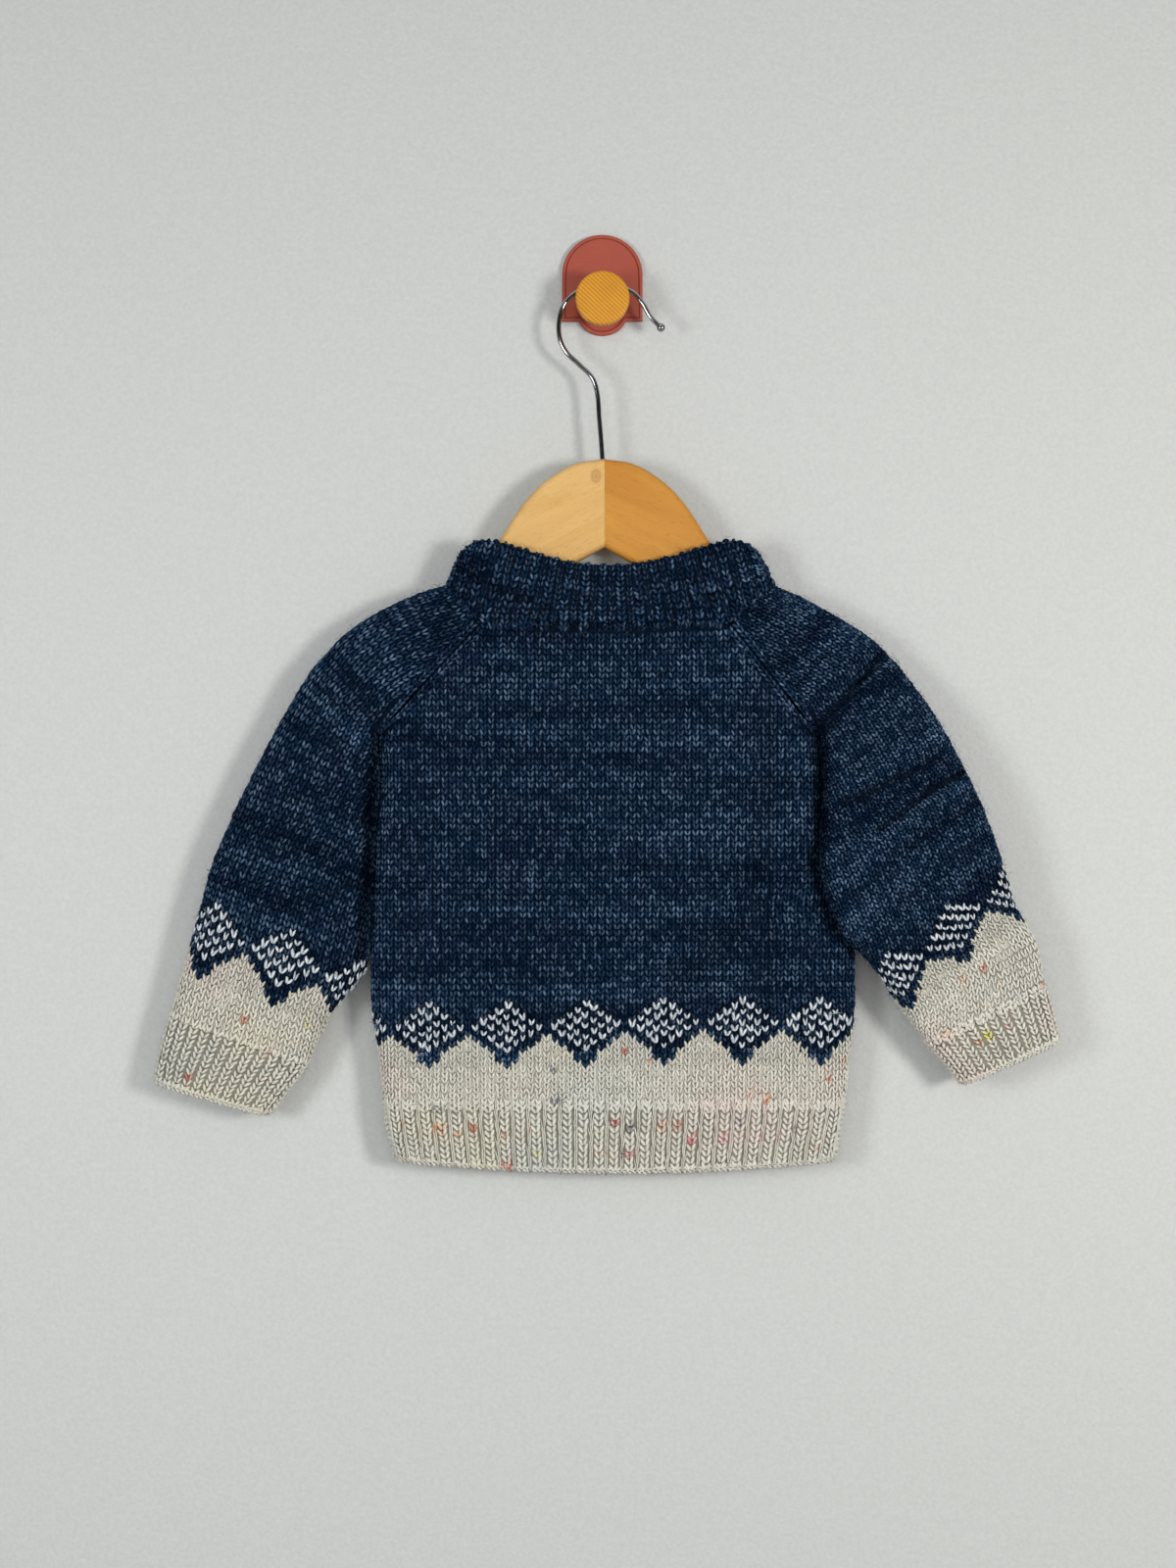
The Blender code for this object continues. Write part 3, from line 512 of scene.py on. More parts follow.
def loft(rings):  # a tube through rings of points; a ring at an end may be a single point
    shape = bmesh.new()
    rings = [addPoints(shape, ring) for ring in rings]
    for ring, after in zip(rings, rings[1:]):
        for corner in range(max(map(len, rings))):
            steps = (ring, corner), (ring, corner + 1), (after, corner + 1), (after, corner)
            shape.faces.new(list(dict.fromkeys(loop[step % len(loop)] for loop, step in steps)))
    return shape


def addLayer(mesh, name, values, domain="POINT"):
    values = np.asarray(values, np.float32)
    kind, field = {1: ("FLOAT", "value"), 3: ("FLOAT_VECTOR", "vector"), 4: ("FLOAT_COLOR", "color")}[
        values.shape[1] if values.ndim > 1 else 1]
    mesh.attributes.new(name, kind, domain).data.foreach_set(field, values.ravel())


def addPiece(name, mesh, node=None, material=None):
    if material:
        mesh.materials.append(material)
    piece = bpy.data.objects.new(name, mesh)
    garment.objects.link(piece)
    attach(piece, "root")
    if node:
        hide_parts(node)
    return piece


# The leg of a stitch

legWale, legRow = 4.16, 3.12
leg = table(  # along and across in rows and wales, height over the backing and half width in millimetres
    "along across height half",
    (-0.46, 0.020, 0.42, 0.0), (-0.14, 0.110, 0.88, 0.72), (0.30, 0.225, 1.02, 0.92),
    (0.74, 0.335, 0.62, 0.78), (1.08, 0.405, 0.05, 0.0),
)
legRing = table("offset top lift turn", (-1, 0.15, 0, 0.1), (0, 1.0, 0.12, 0.5), (1, 0.15, 0, 0.9))


def strandMesh(name, rings, places):  # places: across and along the leg, which its colour follows
    mesh = closedMesh(name, loft(rings))
    addLayer(mesh, "legPlace", places)
    return newObject(name, mesh)


def legMesh(name, side):
    # half of a V: a plump leg, three faces round, that rises from under the row below
    rings, places = [], []
    foot = -cloth["stitchDepth"]
    centres = [np.array((side * point.across * legWale, point.along * legRow)) for point in leg]
    for index, (point, centre) in enumerate(zip(leg, centres)):
        share = index / (len(leg) - 1)
        if point.half == 0.0:
            rings.append([(*centre, foot + point.height)])
            places.append((0.5, share, 0.5))
            continue
        run = unit(centres[index + 1] - centres[index - 1])
        aside = np.array((run[1], -run[0]))
        rings.append([(*(centre + aside * offset * point.half), foot + point.height * top + lift)
                      for offset, top, lift, turn in legRing])
        places += [(turn, share, top) for offset, top, lift, turn in legRing]
    return strandMesh(name, rings, places)


# Node trees

class graph:  # short ways to add nodes to one tree; inputs take values or other nodes' outputs
    def __init__(self, tree):
        self.tree = tree

    def feed(self, node, inputs):
        for name, value in inputs.items():
            socket = node.inputs[name]
            if isinstance(value, bpy.types.NodeSocket):
                self.tree.links.new(value, socket)
            else:
                socket.default_value = (*value, 1) if socket.type == "RGBA" else value

    def add(self, kind, inputs=None, **settings):
        made = self.tree.nodes.new(kind)
        for key, value in settings.items():
            setattr(made, key, value)
        self.feed(made, inputs or {})
        return made

    def math(self, operation, a, b=0.0):
        return self.add("ShaderNodeMath", {0: a, 1: b}, operation=operation).outputs[0]

    def plus(self, a, b):
        return self.math("ADD", a, b)

    def times(self, a, b):
        return self.math("MULTIPLY", a, b)

    def mix(self, factor, a, b, blend="MIX"):
        made = self.add("ShaderNodeMix", data_type="RGBA", blend_type=blend)
        self.feed(made, {0: factor, 6: a, 7: b})
        return made.outputs[2]

    def ramp(self, value, *stops):
        made = self.add("ShaderNodeValToRGB", {"Fac": value})
        elements = made.color_ramp.elements
        while len(elements) < len(stops):
            elements.new(0.5)
        for element, (place, colour) in zip(elements, stops):
            element.position = place
            element.color = (*colour, 1) if isinstance(colour, tuple) else (colour, colour, colour, 1)
        return made.outputs["Color"]

    def rise(self, value, low, high, top=1.0):
        return self.ramp(value, (low, 0.0), (high, top))

    def noise(self, scale, detail=2.0, roughness=0.5, vector=None, distortion=0.0):
        return self.add("ShaderNodeTexNoise", {
            "Scale": scale, "Detail": detail, "Roughness": roughness, "Distortion": distortion,
            "Vector": vector or self.object}).outputs["Fac"]

    def wave(self, direction, inputs):
        made = self.add("ShaderNodeTexWave", inputs, wave_type="BANDS", bands_direction=direction)
        return made.outputs["Fac"]

    def mapped(self, scale, turn=(0, 0, 0), move=(0, 0, 0), source=None):
        source = source or self.object
        steps = [{"Scale": scale}]
        if any(turn) or any(move):  # moved and turned first, then scaled
            steps = [{"Rotation": turn, "Location": move}, *steps]
        for step in steps:
            source = self.add("ShaderNodeMapping", {"Vector": source, **step}).outputs[0]
        return source

    def attribute(self, name, output="Fac"):
        return self.add("ShaderNodeAttribute", attribute_name=name).outputs[output]

    def finish(self, colour, height, strength, distance, roughness=None):
        bump = self.add("ShaderNodeBump", {"Strength": strength, "Distance": distance, "Height": height})
        self.feed(self.shader, {"Base Color": colour, "Normal": bump.outputs["Normal"]})
        if roughness:
            self.feed(self.shader, {"Roughness": roughness})
        return self.material


def buildStitchTree():  # a right and a left leg on each place, turned and sized as the place says
    tree = bpy.data.node_groups.new("knit stitches", "GeometryNodeTree")
    for name, kind, *default in (
        ("Places", "Geometry"), ("Left leg", "Object"), ("Right leg", "Object"), ("Plumpness", "Float", 1.0),
        ("Cells across", "Float", 96.0), ("Seed", "Int", 5), ("Yarn", "Material"),
    ):
        socket = tree.interface.new_socket(name=name, in_out="INPUT", socket_type="NodeSocket" + kind)
        if default:
            socket.default_value = default[0]
    tree.interface.new_socket(name="Stitches", in_out="OUTPUT", socket_type="NodeSocketGeometry")
    knit = graph(tree)
    given = knit.add("NodeGroupInput").outputs

    def named(name, kind="FLOAT_VECTOR"):
        made = knit.add("GeometryNodeInputNamedAttribute", {"Name": name}, data_type=kind)
        return made.outputs["Attribute"]

    def stored(geometry, name, value, kind="FLOAT", domain="INSTANCE"):
        inputs = {"Geometry": geometry, "Name": name, "Value": value}
        return knit.add("GeometryNodeStoreNamedAttribute", inputs, data_type=kind, domain=domain).outputs[0]

    axes = {"Primary Axis": named("facing"), "Secondary Axis": named("upWale")}
    turn = knit.add("FunctionNodeAxesToRotation", axes, primary_axis="Z", secondary_axis="Y").outputs[0]
    plump = knit.add("ShaderNodeCombineXYZ", {"X": 1.0, "Y": 1.0, "Z": given["Plumpness"]}).outputs[0]
    scale = knit.add("ShaderNodeVectorMath", {0: named("size"), 1: plump}, operation="MULTIPLY").outputs[0]
    both = knit.add("GeometryNodeJoinGeometry")
    for step, legName in enumerate(("Right leg", "Left leg")):
        info = knit.add("GeometryNodeObjectInfo", {"Object": given[legName]})
        instance = info.outputs["Geometry"]
        spread = knit.add("GeometryNodeInstanceOnPoints", {
            "Points": given["Places"], "Instance": instance, "Rotation": turn, "Scale": scale})
        seed = knit.plus(given["Seed"], step)
        dice = knit.add("FunctionNodeRandomValue", {"Seed": seed}, data_type="FLOAT")
        cell = knit.plus(knit.times(knit.add("GeometryNodeInputIndex").outputs[0], 2.0), step)
        shaded = stored(spread.outputs[0], "legShade", dice.outputs[1])
        knit.feed(both, {"Geometry": stored(shaded, "cell", cell)})
    real = knit.add("GeometryNodeRealizeInstances", {"Geometry": both.outputs[0]}).outputs[0]
    # each leg has a square of its own on the map for baking, with a margin of a tenth
    cell, across = knit.plus(named("cell", "FLOAT"), 0.25), given["Cells across"]
    place = knit.add("ShaderNodeSeparateXYZ", {"Vector": named("legPlace")}).outputs
    indices = {
        "X": knit.math("FLOOR", knit.math("MODULO", cell, across)),
        "Y": knit.math("FLOOR", knit.math("DIVIDE", cell, across)),
    }
    spot = {}
    for axis, index in indices.items():
        inside = knit.plus(knit.times(place[axis], 0.8), 0.1)
        spot[axis] = knit.math("DIVIDE", knit.plus(index, inside), across)
    spot = knit.add("ShaderNodeCombineXYZ", spot).outputs[0]
    made = stored(real, "OFBake", spot, "FLOAT2", "CORNER")
    for name in ("facing", "upWale", "size", "cell"):
        made = knit.add("GeometryNodeRemoveAttribute", {"Geometry": made, "Name": name}).outputs[0]
    made = knit.add("GeometryNodeSetMaterial", {"Geometry": made, "Material": given["Yarn"]}).outputs[0]
    knit.feed(knit.add("NodeGroupOutput"), {"Stitches": made})
    return tree


stitchTree = buildStitchTree()
legs = legMesh("left leg", 1), legMesh("right leg", -1)


def knitPiece(name, values, seed, legs=legs):
    count = len(values["place"])
    knitted.append(values)
    mesh = bpy.data.meshes.new(name + " places")
    mesh.vertices.add(count)
    mesh.vertices.foreach_set("co", (values["place"] * mm).astype(np.float32).ravel())
    for key in list(values)[1:]:
        addLayer(mesh, key, values[key])
    holder = newObject(name + " places", mesh)
    setOut = holder.modifiers.new("Stitches", "NODES")
    setOut.node_group = stitchTree
    inputs = {
        "Left leg": legs[0], "Right leg": legs[1], "Plumpness": cloth["plumpness"],
        "Cells across": float(math.ceil(math.sqrt(2 * count))), "Seed": seed, "Yarn": knitYarn,
    }
    for socket in stitchTree.interface.items_tree:
        if socket.name in inputs:
            setOut[socket.identifier] = inputs[socket.name]
    depsgraph = bpy.context.evaluated_depsgraph_get()
    made = bpy.data.meshes.new_from_object(holder.evaluated_get(depsgraph), preserve_all_data_layers=True,
                                           depsgraph=depsgraph)
    bpy.data.objects.remove(holder)  # and its modifier
    made.name = name
    print(name, count, "stitches", len(made.polygons), "faces")
    return addPiece(name, made)


# Materials

def newMaterial(name, roughness, specular=0.5, colour=(0.5, 0.5, 0.5), more=None):
    material = bpy.data.materials.new(name)
    material.use_nodes = True
    look = graph(material.node_tree)
    look.material = material
    look.object = look.add("ShaderNodeTexCoord").outputs["Object"]
    look.shader = look.tree.nodes["Principled BSDF"]
    look.feed(look.shader, {"Base Color": colour, "Roughness": roughness, "Specular IOR Level": specular,
                            "Sheen Roughness": 0.45, **(more or {})})
    return look


yarn = {
    "navyDeep": (0.0012, 0.0068, 0.0200),
    "navyMid": (0.0040, 0.0190, 0.0490),
    "navyFleck": (0.1270, 0.1990, 0.2980),
    "navyPurple": (0.0100, 0.0140, 0.0420),
    "whiteShade": (0.25, 0.29, 0.34),
    "whiteLight": (0.68, 0.71, 0.73),
    "creamShade": (0.455, 0.440, 0.372),
    "creamLight": (0.655, 0.640, 0.562),
    "creamCool": (0.505, 0.523, 0.508),
    "creamWarm": (0.620, 0.581, 0.445),
    "creamPink": (0.620, 0.528, 0.478),
    "navyPaintedShade": (0.16, 0.20, 0.26),  # painted shade: what the sides and ends of a leg are multiplied by
    "palePaintedShade": (0.43, 0.42, 0.39),
    # painted shade in folds, hollows and sunken stitches multiplies by this
    "fold": (0.05, 0.06, 0.08),
    "flecks": ((0.15, 0.0), (0.47, 0.09), (0.92, 1.0)),
    # how much each adds to the flecks: all legs, chance, bands of dye, mottle and single fibres
    "heather": (-0.61, 0.40, 0.74, 0.60, 0.86),
}
# the backing is coloured darker than the yarn, painted shade in the gaps between stitches; the rib colours,
# darker still, are painted shade between the ribs
backing = {
    "navy": ((0.0012, 0.0032, 0.0080), (0.004, 0.010, 0.022)),
    "cream": ((0.34, 0.31, 0.25), (0.52, 0.49, 0.42)),
    "rib": ((0.155, 0.145, 0.112), (0.235, 0.218, 0.172)),
}


def navyColour(look, shade, dashes, crestHighlight):
    # heathered: pale flecks, kept to the legs' crests as a painted highlight, some legs far more than
    # others, over bands and clouds of dye
    bands = look.noise(1.0, 3.0, 0.6, look.mapped((7.0, 7.0, 75.0), source=look.attribute("dye", "Vector")))
    clouds = look.rise(look.noise(55.0), 0.5, 0.75)
    mottle = look.noise(230.0, 2.0, 0.6)
    base = look.mix(look.rise(bands, 0.36, 0.64), yarn["navyDeep"], yarn["navyMid"])
    base = look.mix(look.times(clouds, 0.5), base, yarn["navyPurple"])
    every, chance, *factors = yarn["heather"]
    amount = look.plus(every, look.times(shade, chance))
    for share, factor in zip((bands, mottle, dashes), factors):
        amount = look.plus(amount, look.times(look.math("SUBTRACT", share, 0.1), factor))
    return look.mix(look.times(look.ramp(amount, *yarn["flecks"]), crestHighlight), base, yarn["navyFleck"])


def creamColour(look, shade):
    tint = look.noise(17.0)
    warm = look.noise(13.0, vector=look.mapped((1, 1, 1.6), move=(3.1, 0.7, 1.9)))
    base = look.mix(look.ramp(shade, (0.0, 0.25), (1.0, 0.85)), yarn["creamShade"], yarn["creamLight"])
    base = look.mix(look.rise(tint, 0.50, 0.74, 0.7), base, yarn["creamCool"])
    base = look.mix(look.rise(warm, 0.52, 0.72, 0.7), base, yarn["creamWarm"])
    return look.mix(look.ramp(warm, (0.28, 0.7), (0.45, 0.0)), base, yarn["creamPink"])


def yarnMaterial():
    look = newMaterial("hand knit yarn", 0.96, 0.005, more={"Sheen Weight": 0.001})
    shade, kind = look.attribute("legShade"), look.math("DIVIDE", look.attribute("kind"), 2.0)
    isPale, isCream = look.rise(kind, 0.2, 0.3), look.rise(kind, 0.7, 0.8)
    place = look.add("ShaderNodeSeparateXYZ", {"Vector": look.attribute("legPlace", "Vector")}).outputs
    strand = look.add("ShaderNodeCombineXYZ", {  # fibres run along each leg, and differ from leg to leg
        "X": look.times(place["X"], 3.2), "Y": look.times(place["Y"], 2.4), "Z": look.times(shade, 61.0)})
    dashes = look.noise(1.0, 2.0, 0.6, strand.outputs[0])
    side, ends = (look.times(look.math("ABSOLUTE", look.math("SUBTRACT", place[axis], 0.5)), 2.0)
                  for axis in ("X", "Y"))
    hidden = look.math("MAXIMUM", side, ends)
    # painted highlight along the middle of each leg, where the flecks show
    crestHighlight = look.times(look.ramp(side, (0.35, 1.0), (0.85, 0.0)), look.ramp(ends, (0.20, 1.0), (0.62, 0.0)))
    navyLook = navyColour(look, shade, dashes, crestHighlight)
    whiteLook = look.mix(look.rise(dashes, 0.35, 0.62), yarn["whiteShade"], yarn["whiteLight"])
    colour = look.mix(isCream, look.mix(isPale, navyLook, whiteLook), creamColour(look, shade))
    near = look.attribute("nep", "Alpha")
    tangle = look.times(look.math("SUBTRACT", look.noise(520.0, 2.0, 0.6), 0.5), 2.6)
    knot = look.times(look.rise(look.plus(near, tangle), 0.46, 0.74), near)
    colour = look.mix(look.times(knot, isCream), colour, look.attribute("nep", "Color"))
    # painted shade on the sides and ends of each leg, where they go down between its neighbours
    darker = look.mix(isPale, yarn["navyPaintedShade"], yarn["palePaintedShade"])
    colour = look.mix(look.rise(hidden, 0.5, 1.0, 0.75), colour, darker, "MULTIPLY")
    # painted shade from the dark attribute: folds, hollows and sunken stitches
    colour = look.mix(look.attribute("dark"), colour, yarn["fold"], "MULTIPLY")
    ply = look.math("SINE", look.plus(look.times(place["Y"], 22.0), look.times(place["X"], 9.0)))
    fuzz = look.plus(look.times(ply, 0.35), look.noise(2600.0, 2.0, 0.6))
    return look.finish(colour, fuzz, 0.35, 0.0003)


def backingMaterial():
    look = newMaterial("inside of the knit", 0.95, 0.03, more={"Sheen Weight": 0.01})
    loops = look.wave("Z", {"Scale": 50.0, "Distortion": 2.5, "Detail Scale": 3.0, "Vector": look.object})
    speckle = look.noise(600.0, 2.0, 0.6)
    navyLook = look.mix(look.rise(speckle, 0.4, 0.8), *backing["navy"])
    creamLook = look.mix(look.rise(speckle, 0.3, 0.7), *backing["cream"])
    kind = look.times(look.attribute("kind"), 0.5)
    isCream, isRib = look.rise(kind, 0.2, 0.3), look.rise(kind, 0.7, 0.8)
    # ribbed edges take the rib colours: painted shade in the grooves
    colour = look.mix(isRib, look.mix(isCream, navyLook, creamLook), look.mix(speckle, *backing["rib"]))
    return look.finish(colour, loops, 0.6, 0.0008)


knitYarn, knitBacking = yarnMaterial(), backingMaterial()


# Backing shells

def kindsNear(found):  # the backing takes its colour from the nearest stitch: 0 navy, 1 cream
    values = joined(found)
    tree = kdtree.KDTree(len(values["place"]))
    for index, place in enumerate(values["place"]):
        tree.insert(place, index)
    tree.balance()
    pale = (values["kind"] == cream).astype(float)
    return lambda centres: np.array([pale[tree.find(centre)[1]] for centre in centres])


def backingPiece(name, node, points, faces, kinds):
    # kinds: one for all, or a function of the faces' centres
    shape = bmesh.new()
    points = addPoints(shape, points)
    for face in faces:
        shape.faces.new([points[corner] for corner in face])
    mesh = closedMesh(name, shape, 0.00001)
    centres = np.zeros(len(mesh.polygons) * 3)
    mesh.polygons.foreach_get("center", centres)
    centres = centres.reshape(-1, 3) / mm
    addLayer(mesh, "kind", kinds(centres) if callable(kinds) else np.full(len(centres), kinds), "FACE")
    return addPiece(name, mesh, node, knitBacking)


def shellPiece(name, node, patch, spans, columns, kinds):
    # outer and inner face of the backing, joined by rims along every edge that isn't closed on itself
    start, end = patch["lengths"][[0, -1]]
    picked = np.linspace(0, patch["grids"][0.0].shape[1] - 1, columns).round().astype(int)
    grids = np.array([
        [gridLine(patch, start + (end - start) * step / spans, inset)[picked] for step in range(spans + 1)]
        for inset in insets[1:]
    ])
    number = np.arange(grids[..., 0].size).reshape(2, spans + 1, columns)
    closed = np.linalg.norm(grids[0][:, 0] - grids[0][:, -1], axis=1) < 0.02
    outer, inner = number
    faces = []
    for layer in number:
        corners = layer[:-1, :-1], layer[:-1, 1:], layer[1:, 1:], layer[1:, :-1]
        faces += np.stack(corners, axis=-1).reshape(-1, 4).tolist()
    rims = [((row, column), (row, column + 1)) for row in (0, spans) for column in range(columns - 1)]
    rims += [((row, column), (row + 1, column)) for column in (0, columns - 1) for row in range(spans)
             if not (closed[row] and closed[row + 1])]
    faces += [(outer[a], outer[b], inner[b], inner[a]) for a, b in rims]
    return backingPiece(name, node, grids.reshape(-1, 3), faces, kinds)


cloths = {}  # shell and stitches of each piece


def clothPiece(name, node, patch, found, seed, spans, columns, kinds=None):
    kinds = kindsNear(found) if kinds is None else kinds
    shell = shellPiece(name + "Cloth", node, patch, spans, columns, kinds)
    cloths[name] = shell, [knitPiece(name + "Stitches", joined(found), seed)]


# Back, front and sleeves

body = {
    "pitch": 4.15,
    "rowHeight": 3.12,
    "firstWaleX": -9.0,
    "pointsZ": -406.2,  # row 0, at the tips of the navy points
    "patternRow": 2.9,  # the stranded rows are drawn in
    "lowestRow": -8,
    "highestRow": 76,
    "sway": 1.5,  # the pattern hangs lower on the left than on the right
    "swayAt": (385, 26),  # length down from the origin, and reach
    "swayAcross": (0.36, 0.22),  # it turns over there, as shares of the width
    "raglanClear": 5.0,
}
sleeves = {  # places along the sleeve of the navy points and the diamonds' tops, and how the pattern tilts
    "left": {
        "pitch": 4.22, "outerToPoint": 14.8, "points": 10.2, "tops": 8.83, "tilt": (0.0, 4.0), "from": 0.6,
        "lot": 0.3, "sign": 1, "seeds": (7, 31),
    },
    "right": {
        "pitch": 4.0, "outerToPoint": 1.4, "points": 10.0, "tops": 8.86, "tilt": (-14.0, 3.0), "from": 0.0,
        "lot": 0.6, "sign": -1, "seeds": (8, 32),
    },
}
tiltPlaces = 4.6, 7.4, 9.9, cuffPlace  # begins, is full, eases and ends


def onBackYoke(z):  # the back's height for a height on the front
    return underarmZ + (z - underarmZ) / cloth["frontYokeShare"]


def clearOfRaglan(*edges):  # edges: a raglan line's name, and 1 to keep what lies right of it, or -1
    rows = np.array(yokeRows)

    def keep(place):
        x, y, z = place.T
        yokeZ = np.where(y < cloth["middleY"], z, onBackYoke(z))
        inside = np.ones(len(place), bool)
        for edge, way in edges:
            lineX = np.interp(-yokeZ, -rows[:, 0], rows[:, 1 if edge == "left" else 2], right=np.nan)
            inside &= way * (x - lineX) > body["raglanClear"]
        return inside | (z <= underarmZ)

    return keep


def bodySway(length, share):
    at, reach = body["swayAt"]
    fade = math.exp(-(((length - at) / reach) ** 2))
    first, width = body["swayAcross"]
    return body["sway"] * fade * (1 - 2 * smooth((share - first) / width))


def bodyPanel(side, sign, seeds):
    heights = np.linspace(neckZ, hemZ, 140)
    patch = makePatch(lambda z, inset: bodyLine(z, side, inset, cloth["seam"] / 2), heights, -heights)
    knit = {
        "pitch": body["pitch"],
        "rowHeight": body["rowHeight"],
        "zeroAt": lambda line: np.interp(body["firstWaleX"], line[:, 0], np.arange(len(line))),
        "sign": sign,
        "bend": bodySway,
    }
    rows = []
    for row in range(body["lowestRow"], body["highestRow"] + 1):
        z = body["pointsZ"] + body["patternRow"] * min(row, 12) + body["rowHeight"] * max(0, row - 12)
        if side == "front" and z > underarmZ:
            z = onBackYoke(z)
        if z < neckZ + 1.5:
            rows.append((row, -min(z, neckZ - 0.3)))
    found = []
    layStitches(found, patch, knit, rows, clearOfRaglan(("left", 1), ("right", -1)), seeds[0])
    clothPiece(side, side, patch, found, seeds[1], 80, 64)


def sleevePatch(edge, places):
    return makePatch(lambda place, inset: sleeveLine(place, edge, inset), places)


def sleevePanel(edge):
    made = sleeves[edge]
    patch = sleevePatch(edge, np.linspace(0, cuffPlace, 200))
    tips, tops, begin, full, ease, end = np.interp(
        (made["points"], made["tops"], *tiltPlaces), patch["places"], patch["lengths"])

    def bend(length, share):
        across = np.abs(2 * share - 1)
        low, high = made["tilt"]
        amount = low + (high - low) * smooth((across - made["from"]) / (1 - made["from"]))
        return amount * smooth((length - begin) / (full - begin)) * smooth((end - length) / (end - ease))

    rowHeight = (tips - tops) / (pattern["rows"] - 1)
    knit = {
        "pitch": made["pitch"], "rowHeight": rowHeight, "zeroAt": outerPoint, "bend": bend,
        "shift": made["outerToPoint"] / made["pitch"], "sign": made["sign"], "lot": made["lot"],
    }
    rows = [(row, tips - row * rowHeight) for row in range(-16, 130)]
    rows = [(row, length) for row, length in rows if -1.5 < length < patch["lengths"][-1] + 2.2]
    found = []
    layStitches(found, patch, knit, rows, clearOfRaglan((edge, outX[edge])), made["seeds"][0])
    clothPiece("sleeve" + edge.capitalize(), "sleeve_" + edge, patch, found, made["seeds"][1], 84, 90)


bodyPanel("back", 1, (3, 21))
bodyPanel("front", -1, (4, 22))
sleevePanel("left")
sleevePanel("right")
print("body and sleeves knitted")


# Raglan seams: a column of stitches on each side, leaning along the seam

raglan = {
    "rowHeight": 3.3, "aside": 2.2, "width": 4.3, "stretch": 1.05, "height": 1.15, "lift": 0.35,
    "lookIn": 5.0,  # how far into the cloth beside it the seam's slope is read
}


def raglanStitches():
    found = []
    for side, edge in ((side, edge) for side in ("back", "front") for edge in ("left", "right")):
        seam, beside = [], ([], [])
        for z in np.linspace(neckZ - 1, underarmZ - 1, 60):
            place = float(np.interp(-z, [-row.z for row in yokeRows], range(len(yokeRows))))
            lines = [bodyLine(z, side, 0.0)[:: -outX[edge]], sleeveLine(place, edge, 0.0)[:: outY[side]]]
            for line, spots in zip(lines, beside):
                spots.append(along(line, arcLengths(line, 0), np.array([raglan["lookIn"]]))[0])
            seam.append((lines[0][0] + lines[1][0]) / 2)
        seam = np.array(seam)
        down = arcLengths(seam, 0)
        at = np.arange(2.0, down[-1] - 1.0, raglan["rowHeight"])
        spot, before, after = (along(seam, down, at + step) for step in (0.0, -1.5, 1.5))
        upWale = unit(before - after)
        size = raglan["width"] / legWale, raglan["rowHeight"] / legRow * raglan["stretch"], raglan["height"]
        for spots in beside:
            toward = along(np.array(spots), down, at) - spot
            toward = unit(toward - upWale * (toward * upWale).sum(1, keepdims=True))
            facing = unit(np.cross(toward, upWale))
            facing *= np.where(facing[:, 1:2] * outY[side] < 0, -1, 1)
            place = spot + toward * raglan["aside"] + facing * raglan["lift"]
            addStitches(found, place, facing, upWale, np.tile(size, (len(at), 1)), np.zeros(len(at)))
    cloths["back"][1].append(knitPiece("raglanStitches", joined(found), 41))


raglanStitches()

# Hem and cuffs: columns of V's, on the hem between narrow smooth ridges

hem = {
    "ribs": 61,
    "rows": 10,
    "columns": (  # shift and width as shares of a rib
        {"shift": -0.14, "width": 0.72, "height": 1.5, "lean": -0.12, "lift": 0.20},
        {"shift": 0.36, "width": 0.26, "height": 1.6, "lift": 0.35, "stretch": 1.9},
    ),
    "loopsPerRib": 3,
    "seeds": (51, 53, 54),
}
cuffColumns = ({"width": 0.92, "height": 1.6, "lift": 0.4},)
cuffs = {
    "left": {"ribs": 27, "rows": 11, "columns": cuffColumns, "loopsPerRib": 2, "seeds": (61, 63, 64)},
    "right": {"ribs": 25, "rows": 10, "columns": cuffColumns, "loopsPerRib": 2, "seeds": (61, 63, 65)},
}
castOn = {
    "loops": ((0.5, -0.5, 0.75), (-0.6, 0.5, 0.1)),  # turn, and millimetres down and out, to and fro
    "size": (0.85, 1.15, 1.5),
    "shift": 0.2,
    "slopeReach": (0.7, 4.0),  # across and up
    "tilt": (0.3, 0.5),  # of all, and more for those lower down
    "uneven": (0.15, 0.09),  # turn and size
}


def ribStitches(found, patch, made, zeroAt, sign, seed, firstRow=-1, stretch=lambda row: 1.0):
    first = patch["lengths"][0]
    rowHeight = (patch["lengths"][-1] - first) / made["rows"]
    rows = [(row, first + (row + 0.75) * rowHeight, stretch(row))
            for row in range(firstRow, firstRow + made["rows"] + 1)]
    for number, column in enumerate(made["columns"]):
        knit = {"count": made["ribs"], "rowHeight": rowHeight, "zeroAt": zeroAt, "sign": sign, "kind": cream}
        knit.update(column)
        layStitches(found, patch, knit, rows, seed=seed + number)


